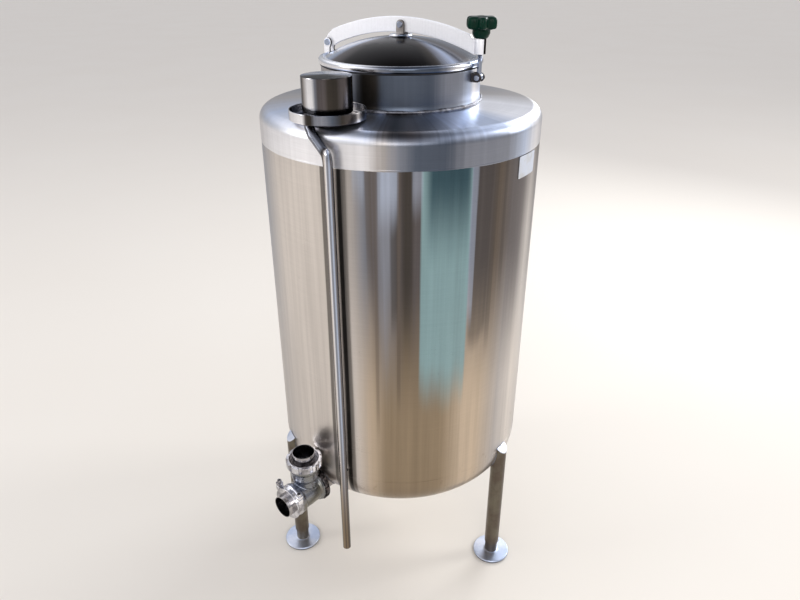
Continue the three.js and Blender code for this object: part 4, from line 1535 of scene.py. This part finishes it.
@dataclass
class StarKnob(SubAssembly):
    """Six-lobed clamp knob."""

    body: str = "knob"
    reach: float = 42.0
    lobe: float = 6.0
    lobes: int = 6
    hub_r: float = 25.0

    def build(self) -> None:
        """Builds and dresses every piece.

        At each row the radius is the hub's own, blended by a weight into the row's share of
        the lobed radius, reach - lobe + lobe cos(lobes a) with the cosine a little flattened.
        """
        a, h = around(240), self.hub_r
        wave = np.cos(self.lobes * a)
        lobed = self.reach - self.lobe + self.lobe * np.sign(wave) * np.abs(wave) ** 0.85
        rows = np.array([
            (0.0, 0, 0, 1719.0), (16.4, 0, 0, 1719.0), (17.0, 0, 0, 1719.6), (19.8, 0, 0, 1723.5),
            (24.4, 0, 0.05, 1731.0), (28.6, 0, 0.2, 1738.0), (27.0, 0.80, 0.75, 1741.2), (h, 0.90, 1, 1742.2),
            (h, 0.965, 1, 1744.6), (h, 0.995, 1, 1748.5), (h, 1, 1, 1753.0), (h, 1, 1, 1759.0),
            (h, 0.99, 1, 1763.0), (h, 0.955, 1, 1767.0), (h, 0.88, 1, 1769.7), (h, 0.78, 1, 1770.8),
            (24.0, 0.68, 0.8, 1771.0), (17.0, 0.5, 0.2, 1770.2), (13.4, 0, 0, 1769.6), (12.6, 0, 0, 1768.2),
            (12.2, 0, 0, 1767.6), (0.0, 0, 0, 1767.6),
        ])
        hub, share, weight, z = (rows[:, i : i + 1] for i in range(4))
        grid = polar(hub * (1 - weight) + weight * share * lobed[None], a, z)
        self.make("knob_star", self.finishes.green, "star_knob", grid)
        cap = [(0, 1767.0), (11.8, 1767.0), (11.8, 1769.0), (0, 1770.2)]
        self.make("knob_cap", self.finishes.rubber, "", spun_solid(cap, [0, 0.3, 0.8, 0], 4, 60))


@dataclass
class Vent(SubAssembly):
    """Vent pipe, hood and drip tray about the vent's own axis."""

    pipe_r: float = 30.0
    pipe_low: float = 1534.0
    pipe_top: float = 1612.0
    hood_r: float = 63.0
    hood_low: float = 1566.0
    hood_high: float = 1651.0
    tray_r: float = 97.0
    tray_low: float = 1548.8
    tray_high: float = 1573.0

    def build(self) -> None:
        """Builds and dresses every piece."""
        f, r, low, high = self.finishes, self.pipe_r, self.pipe_low, self.pipe_top
        pipe = [(r - 2, low), (r, low), (r, high), (r - 2, high)]
        self.make("vent_tube", f.plain, "vent_pipe", spun(pipe, 0.6, 3, 96), ring=True)
        t, low, high = self.tray_r, self.tray_low, self.tray_high
        tray = [
            (r + 0.3, low), (t - 1.5, low), (t, low + 1.5), (t, high), (t - 2.6, high), (t - 2.6, low + 2.5),
            (r + 0.3, low + 2.5),
        ]
        pan = spun(tray, [0.3, 1.5, 2.5, 1.2, 1.2, 4, 0.3], 6, 180)
        self.make("tray_pan", f.tray, "drip_tray", pan, ring=True)
        self._hood()

    def _hood(self) -> None:
        """Hood: a deep cap with a crowned top, on three feet that stand in the tray."""
        h, low, high = self.hood_r, self.hood_low, self.hood_high
        outer = [
            (0, high + 2), (h * 0.5, high + 1.6), (h - 3, high + 0.4), (h - 0.2, high), (h, high - 2),
            (h, low), (h - 2, low),
        ]
        inner = [(h - 2, low), (h - 2, high - 7), (h - 6, high - 4), (h * 0.5, high - 1), (0, high)]
        cap = revolve(np.concatenate([
            eased(outer, [0, 8, 2, 0.9, 1, 0.6, 0.6], 6, False), eased(inner, [0, 3, 3, 6, 0], 5, False),
        ]), 180)
        foot = eased([(h - 8, -4), (h - 1.6, -4), (h - 1.6, 4), (h - 8, 4)], 1.2, 3)
        block = plate(foot, self.tray_low + 2.9, low + 14, 0.5, 2)
        feet = (Seat(turn=bearing).carry(block) / MM for bearing in (60, 180, 300))
        hood = self.make("hood_cap", self.finishes.hood, "vent_hood", cap, *feet)
        self.second_finish(hood, self.finishes.crown, self._crown)

    def _crown(self, at: Array, normal: Array) -> Array:
        """Says which faces lie on top of the hood."""
        return (at[:, 2] > self.hood_high - 1.0) & (normal[:, 2] > 0.4)


@dataclass
class Drain(SubAssembly):
    """Drain pipe from the tray to just over the floor, and its clip."""

    radius: float = 12.5
    wall: float = 1.5
    out: float = 425.0
    bearing: float = -109.4
    tip: float = 195.0

    def build(self) -> None:
        """Builds and dresses every piece."""
        f, a = self.finishes, math.radians(self.bearing)
        path = self._path(self.out * math.cos(a), self.out * math.sin(a))
        up = np.array([math.cos(a), math.sin(a), 0.0]) * 0.9 + UP * 0.1
        section = polar(self.radius, around(40), 0.0)[:, :2]
        bore = section * (self.radius - self.wall) / self.radius
        tube = np.concatenate([sweep(path, section, up), sweep(path, bore, up)[::-1]])
        self.make("drain_tube", f.tube, "drain_pipe", tube, ring=True)
        bar = spun_solid([(0, 398.5), (5, 398.5), (5, 413.5), (0, 413.5)], [0, 0.4, 0.4, 0], 2, 32)
        turned = Skin(self.seat.beside(0, 0, self.bearing)).add(lay_along_x(bar, 500.0))
        self.keep(turned, "drain_stay", f.plain, "drain_clip")
        joint = polar(14.5, around(120), 0.0) + np.array([-192.0, -352.0, 1547.6])
        self.make("drain_weld", f.weld, "", bead(joint, UP, 1.8, 1.5, 30, 21), ring=True)

    def _path(self, x: float, y: float) -> Array:
        """Returns the pipe's centreline: two bends joined by straights, the last one down at (x, y)."""
        top, neck, high = np.array([(-192, -352, 1548.2), (-191, -356, 1537), (-182, -370, 1526)])
        low, elbow = np.array([(-146, -399, 1489), (x, y, 1478)])
        straight, tip = np.array([(x, y, 1455), (x, y, self.tip)])
        t = np.linspace(0, 1, 15)[:, None]
        return np.concatenate([
            bend(top, neck, high, t), line(high, low, 6), bend(low, elbow, straight, t),
            line(straight, tip, 26), tip[None],
        ])


@dataclass
class Leg(SubAssembly):
    """One leg: coped tube, slanted cap, post, foot disc and pad. Local X points out from the tank's axis."""

    name: str = "right"
    out: float = 396.0
    radius: float = 24.15
    wall: float = 2.5
    low: float = 52.0
    crest: float = 458.0
    slope: float = 44.0
    cap_r: float = SHELL_R + 0.6

    def build(self) -> None:
        """Builds and dresses every piece."""
        self._tube()
        self._cap()
        self._foot()
        self._weld()

    def _tube(self) -> None:
        """Tube from the foot up to its coped top edge."""
        a, t = around(96), np.linspace(0, 1, 14)[:, None]
        walls = []
        for r, share in ((self.radius, t), (self.radius - self.wall, t[::-1])):
            x, y, top = self._edge(a, r)
            walls.append(np.stack([x + 0 * share, y + 0 * share, self.low + (top - self.low) * share], -1))
        tube = np.concatenate(walls)
        self.make(f"leg_tube_{self.name}", self.finishes.leg, f"leg_{self.name}", tube, ring=True)

    def _edge(self, a: Array, r: float) -> tuple[Array, Array, Array]:
        """Finds the top edge of the tube's wall.

        Inside the shell's radius the tube ends on the bottom's knuckle; outside, it ends on
        a plane that rises inwards.

        Args:
            a: Angles around the tube.
            r: The wall's radius.

        Returns:
            X, Y and the height of the edge at each angle.
        """
        x, y = self.out + r * np.cos(a), r * np.sin(a)
        far = np.hypot(x, y)
        return x, y, np.where(far < SHELL_R + 0.3, KNUCKLE.height(far) - 0.3, self.crest + self._above(x))

    def _above(self, x: Array) -> Array:
        """Returns the slanted plane's height over the crest at a local X."""
        return (self.out + self.radius - x) * math.tan(math.radians(self.slope))

    def _cap(self) -> None:
        """Slanted cap: the tube's outline outside the shell, sheared along the slope."""
        x = (self.cap_r**2 + self.out**2 - self.radius**2) / (2 * self.out)
        half = math.degrees(math.acos((x - self.out) / self.radius))
        rim = arc(self.out, 0, self.radius, -half, half, 40)
        edge = math.degrees(math.atan2(rim[-1][1], rim[-1][0]))
        back = arc(0, 0, self.cap_r, edge, -edge, 16)[1:-1]
        grid = plate(np.concatenate([rim, back]), 0.0, 4.0, 0.7)
        grid[..., 2] += self.crest + 0.5 + self._above(grid[..., 0])
        self.make(f"leg_top_{self.name}", self.finishes.foot, f"leg_cap_{self.name}", grid)

    def _foot(self) -> None:
        """Post, disc with a low collar, and rubber pad, turned about the leg's axis."""
        f, shift = self.finishes, np.array([self.out, 0.0, 0.0])
        post = [(0, 11.3), (21.3, 11.3), (21.3, 97.0), (0, 97.0)]
        disc = [(0, 5), (62, 5), (62, 9), (60.5, 11), (25.0, 11.0), (21.9, 12.6), (0, 12.6)]
        pad = [(0, 0), (60, 0), (61.0, 2.4), (60, 4.7), (0, 4.7)]
        for name, finish, node, corners, radii, steps, count in (
            ("post", f.leg, "foot_post", post, [0, 0.8, 1, 0], 3, 72),
            ("disc", f.foot, "foot_plate", disc, [0, 0.8, 1.2, 2, 2, 1, 0], 5, 120),
            ("pad", f.rubber, "foot_pad", pad, [0, 1, 1.5, 0.8, 0], 4, 120),
        ):
            grid = spun_solid(corners, radii, steps, count) + shift
            self.make(f"{name}_{self.name}", finish, f"{node}_{self.name}", grid)

    def _weld(self) -> None:
        """Bead along the part of the tube's top edge that lies on the bottom."""
        x, y, z = self._edge(around(480), self.radius)
        path = np.stack([x, y, z - 0.5], -1)[np.hypot(x, y) < SHELL_R]
        path = path[np.argsort(np.arctan2(path[:, 1], -(path[:, 0] - self.out)))]
        up = unit(np.stack([path[:, 0] - self.out, path[:, 1], 0 * path[:, 0]], -1))
        self.make(f"leg_weld_{self.name}", self.finishes.weld, "", bead(path, up, 2.0, 1.8, 46, 31, False))


@dataclass
class Outlet(SubAssembly):
    """Bottom outlet. Local X runs out along the run, and the branch rises from it."""

    z: float = 397.0
    pipe_r: float = 35.0
    nut_r: float = 56.0
    nut_low: float = 503.0
    nut_high: float = 530.0
    branch_x: float = 457.0
    branch_r: float = 36.5
    bell_r: float = 43.0
    body_r: float = 51.0
    clamp_r: float = 52.0
    lug_x: float = 524.0
    lug_y: float = 46.0
    slots: int = 10
    slot_half: float = 4.5
    slot_depth: float = 5.0

    def build(self) -> None:
        """Builds and dresses every piece."""
        self._nozzle()
        self._tee()
        self._branch()
        self._clamp()

    def _along(self, corners: Sequence, radii: float | Sequence[float], steps: int, count: int) -> Array:
        """Returns a closed profile with rounded corners turned about the run's axis."""
        return lay_along_x(spun(corners, radii, steps, count), self.z)

    def _nozzle(self) -> None:
        """Nozzle out of the bottom's knuckle, with its weld and union nut."""
        f, p = self.finishes, self.pipe_r
        stub = self._along([(p - 2, 345), (p, 345), (p, 405), (p - 2, 405)], 0.5, 2, 96)
        self.make("nozzle_tube", f.plain, "outlet_nozzle", stub, ring=True)
        weld = bead(self._root(), np.array([1.0, 0, 0]), 3.0, 2.4, 60, 41)
        self.make("nozzle_weld", f.weld, "", weld, ring=True)
        nut = lay_along_x(self._nut(401.0, 420.5, p + 0.3), self.z)
        # This nut takes the painted shade finish.
        self.make("tank_union_nut", f.dark_nut, "outlet_nut", nut, ring=True)

    def _branch(self) -> None:
        """Union nut and ferrule at the top of the branch."""
        f, p, low, high, shift = self.finishes, self.pipe_r, self.nut_low, self.nut_high, self._branch_shift()
        nut = self._nut(low, high, p + 9.0) + shift
        self.make("branch_union_nut", f.nut, "branch_nut", nut, ring=True)
        liner = [
            (p - 2, low), (p + 8.7, low), (p + 8.7, low + 8), (p, low + 13), (p, high + 22),
            (p - 2, high + 22),
        ]
        ferrule = spun(liner, [0.4, 1, 2, 3, 0.6, 0.6], 5, 96) + shift
        self.make("branch_ferrule", f.mirror, "branch_liner", ferrule, ring=True)

    def _branch_shift(self) -> Array:
        """Returns the shift from the tank's axis to the branch's."""
        return np.array([self.branch_x, 0, 0])

    def _root(self) -> Array:
        """Returns the closed path where the nozzle meets the knuckle: x = sqrt(R(z)^2 - y^2) around it."""
        a = around(160)
        y, z = self.pipe_r * np.cos(a), self.z + self.pipe_r * np.sin(a)
        return np.stack([np.sqrt(KNUCKLE.radius(z) ** 2 - y**2), y, z], -1)

    def _nut(self, z0: float, z1: float, bore: float) -> Array:
        """Shapes a round union nut with slots around its upper half.

        The rows follow a chamfered ring; outside the bore, the radius drops by the slot's
        depth wherever the angle is within a slot and the row lies in the slotted half.

        Args:
            z0: Lower face.
            z1: Upper face.
            bore: Bore radius.

        Returns:
            A ring grid about Z.
        """
        r, mid = self.nut_r, (z0 + z1) / 2
        mouth = max(bore, r - 10.0)
        corners = [
            (bore, z0), (r - 6, z0), (r, z0 + 6), (r, z0 + 7.2), (r, z0 + 7.6), (r, z0 + 8.0), (r, z1 - 1.5),
            (r - 1.5, z1), (mouth, z1), (mouth, mid), (bore, mid - 3),
        ]
        profile = eased(corners, [0.8, 2, 3, 0, 0, 0, 1, 1.2, 1.0, 2, 1], 5)
        a, step = around(360), TURN / self.slots
        off = np.abs((a + step / 2) % step - step / 2) * r
        inside = 1.0 / (1.0 + np.exp((off - self.slot_half) / 0.28))
        deep = (profile[:, 1] > z0 + 7.5) & (profile[:, 0] > r - 3)
        return polar(profile[:, :1] - deep[:, None] * inside[None] * self.slot_depth, a, profile[:, 1:])

    def _tee(self) -> None:
        """Tee body: a collared run, a branch that flares to its collar and a weld where they meet."""
        b, p, z, neck, bell = self.body_r, self.pipe_r, self.z, self.branch_r, self.bell_r
        top, step = self.nut_low - 0.3, z + self.nut_r + 1
        run = self._along(
            [(p - 2, 420.8), (b, 420.8), (b, 430), (b - 5, 434),
             (b - 5, 496), (b, 501), (b, 512), (p - 2, 512)],
            [0.6, 1.6, 2, 4, 4, 2, 1.6, 0.6], 5, 128,
        )
        branch = spun(
            [(p - 2, z + 20), (neck, z + 20), (neck, step), (bell, step + 9),
             (bell, top - 15), (b - 2, top - 8), (b - 2, top), (p - 2, top)],
            [0.4, 1, 5, 8, 8, 4, 1.4, 0.6], 6, 128,
        )
        body = (run, branch + self._branch_shift())
        self.make("tee_forging", self.finishes.stained, "outlet_body", *body, ring=True)
        a, r = around(240), neck + 0.5
        height = z + np.sqrt(np.maximum((b - 5.0) ** 2 - (r * np.sin(a)) ** 2, 0.0))
        path = np.stack([self.branch_x + r * np.cos(a), r * np.sin(a), height], -1)
        fillet = bead(path, polar(1.0, a, 0.8), 3.4, 3.0, 8, 51)
        self.make("tee_fillet", self.finishes.stained, "", fillet, ring=True)

    def _clamp(self) -> None:
        """Two-part clamp: a grooved ring with a bolted lug on each side, and the run's ferrule."""
        f, p, r, z = self.finishes, self.pipe_r, self.clamp_r, self.z
        ring = self._along(
            [(p + 0.3, 512.3), (r, 512.3), (r, 516), (r - 3, 519),
             (r - 3, 529), (r, 532), (r, 536), (p + 0.3, 536)],
            [0.5, 1.5, 1.5, 2, 2, 1.5, 1.5, 0.5], 4, 128,
        )
        skin = Skin(self.seat).add(ring, ring=True)
        screw = spun_solid([(0, z + 38), (4, z + 38), (4, z + 60), (0, z + 60)], 0.4, 2, 24)
        for y in (-self.lug_y, self.lug_y):
            lug = eased([(515, y - 9), (533, y - 9), (533, y + 9), (515, y + 9)], 4, 5)
            shift = np.array([self.lug_x, y, 0])
            skin.add(plate(lug, z + 24, z + 40, 1.2)).add(plate(lug, z + 42, z + 52, 1.2))
            skin.add(hexagon(13.0, z + 52.2, z + 60.0) + shift).add(screw + shift)
        self.keep(skin, "run_coupling", f.nut, "run_clamp")
        ferrule = self._along([(p - 2, 512.3), (p, 512.3), (p, 556), (p - 2, 556)], 0.5, 2, 96)
        self.make("run_ferrule", f.mirror, "run_liner", ferrule, ring=True)


# Studio.


def pose(obj: bpy.types.Object, right: Array, above: Array, back: Array, at: tuple) -> None:
    """Places an object by its three axes and its place in metres, and links it to the scene."""
    turn = np.eye(4)
    turn[:3, :3] = np.stack([right, above, back], -1)
    turn[:3, 3] = at
    obj.matrix_world = Matrix(turn.tolist())
    bpy.context.scene.collection.objects.link(obj)


@dataclass(frozen=True)
class Lamp:
    """A soft area light that faces a point on the tank's axis.

    Attributes:
        name: Its name.
        at: Its place, in metres.
        aim: The point it faces.
        size: Width and height, in metres.
        power: Watts.
        tint: Colour.
    """

    name: str
    at: tuple
    aim: tuple
    size: tuple
    power: float
    tint: tuple = (1.0, 1.0, 1.0)

    def hang(self) -> None:
        """Adds the light to the scene."""
        light = bpy.data.lights.new(self.name, "AREA")
        light.shape = "RECTANGLE"
        light.size, light.size_y = self.size
        light.energy = self.power
        light.color = self.tint
        back = unit(np.array(self.at, float) - np.array(self.aim, float))
        right = unit(np.cross(UP, back))
        pose(bpy.data.objects.new(self.name, light), right, np.cross(back, right), back, self.at)


@dataclass
class Studio:
    """Camera, floor, world and lamps.

    Attributes:
        axis_y: The tank axis in the row's Y, in metres.
        focal_px: Focal length in pixels of a frame as wide as the photograph.
        glow: Strength of the surroundings.
        floor_r: Radius of the floor, in metres.
    """

    axis_y: float
    focal_px: float = 667.64
    glow: float = 1.12
    floor_r: float = 60.0

    def build(self) -> None:
        """Builds the studio."""
        self._camera()
        self._floor()
        self._world()
        for lamp in self._lamps():
            lamp.hang()

    def _camera(self) -> None:
        """Places the camera at the photograph's viewpoint, from its right and down directions."""
        data = bpy.data.cameras.new("camera")
        data.sensor_fit, data.sensor_width = "HORIZONTAL", SENSOR_MM
        data.lens = SENSOR_MM * self.focal_px / PHOTO_WIDTH
        data.clip_end = 200.0
        camera = bpy.data.objects.new("camera", data)
        right = np.array([0.9964, 0.08477, 0.00034])
        down = np.array([0.03922, -0.45744, -0.88837])
        ahead = unit(np.cross(right, down))
        pose(camera, unit(right), -unit(down), -ahead, (0.1633, -1.9479 + self.axis_y, 1.9085))
        bpy.context.scene.camera = camera

    def _floor(self) -> None:
        """Lays a wide disc of floor, 10 mm thick: rings of growing radius about the origin."""
        radii = np.array([0.0, 1.0, 3.0, 9.0, self.floor_r]) / MM
        face = np.stack([radii, 0 * radii], -1)
        profile = np.concatenate([face, [(self.floor_r / MM, -10.0), (0.0, -10.0)]])
        floor = Skin(Seat()).add(revolve(profile, 64)).piece("floor")
        floor.data.materials.append(StudioFloor("studio_floor", "floor").material())

    def _world(self) -> None:
        """Fills the room with a soft ring of light that is dim at the horizon and overhead."""
        world = bpy.data.worlds.new("soft_room")
        graph = Graph(world, "ShaderNodeOutputWorld")
        ahead = graph.node("ShaderNodeTexCoord", {}, {}, "Generated")
        height = graph.node("ShaderNodeSeparateXYZ", {}, {0: ahead}, 2)
        stops = [
            (0.0, (0.5, 0.49, 0.48)), (0.1, (0.38, 0.38, 0.39)), (0.3, (0.5, 0.52, 0.56)),
            (0.5, (1.0, 1.0, 1.04)), (0.78, (0.9, 0.92, 1.0)), (0.9, (0.3, 0.31, 0.34)),
            (1.0, (0.16, 0.16, 0.18)),
        ]
        light = {"Color": graph.ramp(height, stops), "Strength": self.glow}
        graph.surface(graph.node("ShaderNodeBackground", {}, light))
        bpy.context.scene.world = world
        bpy.context.scene.view_settings.view_transform = "Standard"

    def _lamps(self) -> list[Lamp]:
        """Returns the soft boxes: one high at the back, a tall strip at each side and a fill in front."""
        aim = (0.0, self.axis_y, 1.1)
        return [
            Lamp("back_right", (2.4, 3.2, 3.0), aim, (2.0, 1.2), 82.0, (0.95, 0.98, 1.0)),
            Lamp("left_strip", (-7.0, -2.0, 3.7), aim, (2.0, 4.4), 115.0),
            Lamp("right_strip", (7.5, 2.0, 4.3), aim, (1.8, 5.0), 205.0),
            Lamp("front_fill", (1.3, -9.2, 4.4), aim, (5.3, 3.5), 244.0, (1.0, 0.97, 0.93)),
        ]


def main() -> None:
    """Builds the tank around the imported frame."""
    logging.basicConfig(level=logging.INFO, format="%(name)s %(message)s")
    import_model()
    low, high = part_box("shell")
    axis = Seat(0.0, (low.y + high.y) / 2 / MM)
    manway = axis.beside(0, 0, -26.0)
    outlet = axis.beside(0, 0, -126.0)
    knob = manway.beside(BOLT[0], 0)
    vent = axis.beside(-157, -287)
    drain = axis.beside(0, 0, Drain.bearing).beside(Drain.out, 0)
    finishes = Palette(*((at.x * MM, at.y * MM) for at in (axis, vent, drain, knob)))
    Studio(axis.y * MM).build()
    legs = (("right", -30), ("left", -150), ("rear", 90))
    parts: list[SubAssembly] = [
        TankBody(axis, finishes),
        ManwayNeck(manway, finishes),
        LidAndBeam(manway, finishes),
        StarKnob(knob, finishes),
        Vent(vent, finishes),
        Drain(axis, finishes),
        *(Leg(axis.beside(0, 0, bearing), finishes, name=name) for name, bearing in legs),
        Outlet(outlet, finishes),
    ]
    for part in parts:
        part.build()
    LOG.info("pieces: %d", sum(len(part.made) for part in parts))


if __name__ == "__main__":
    main()
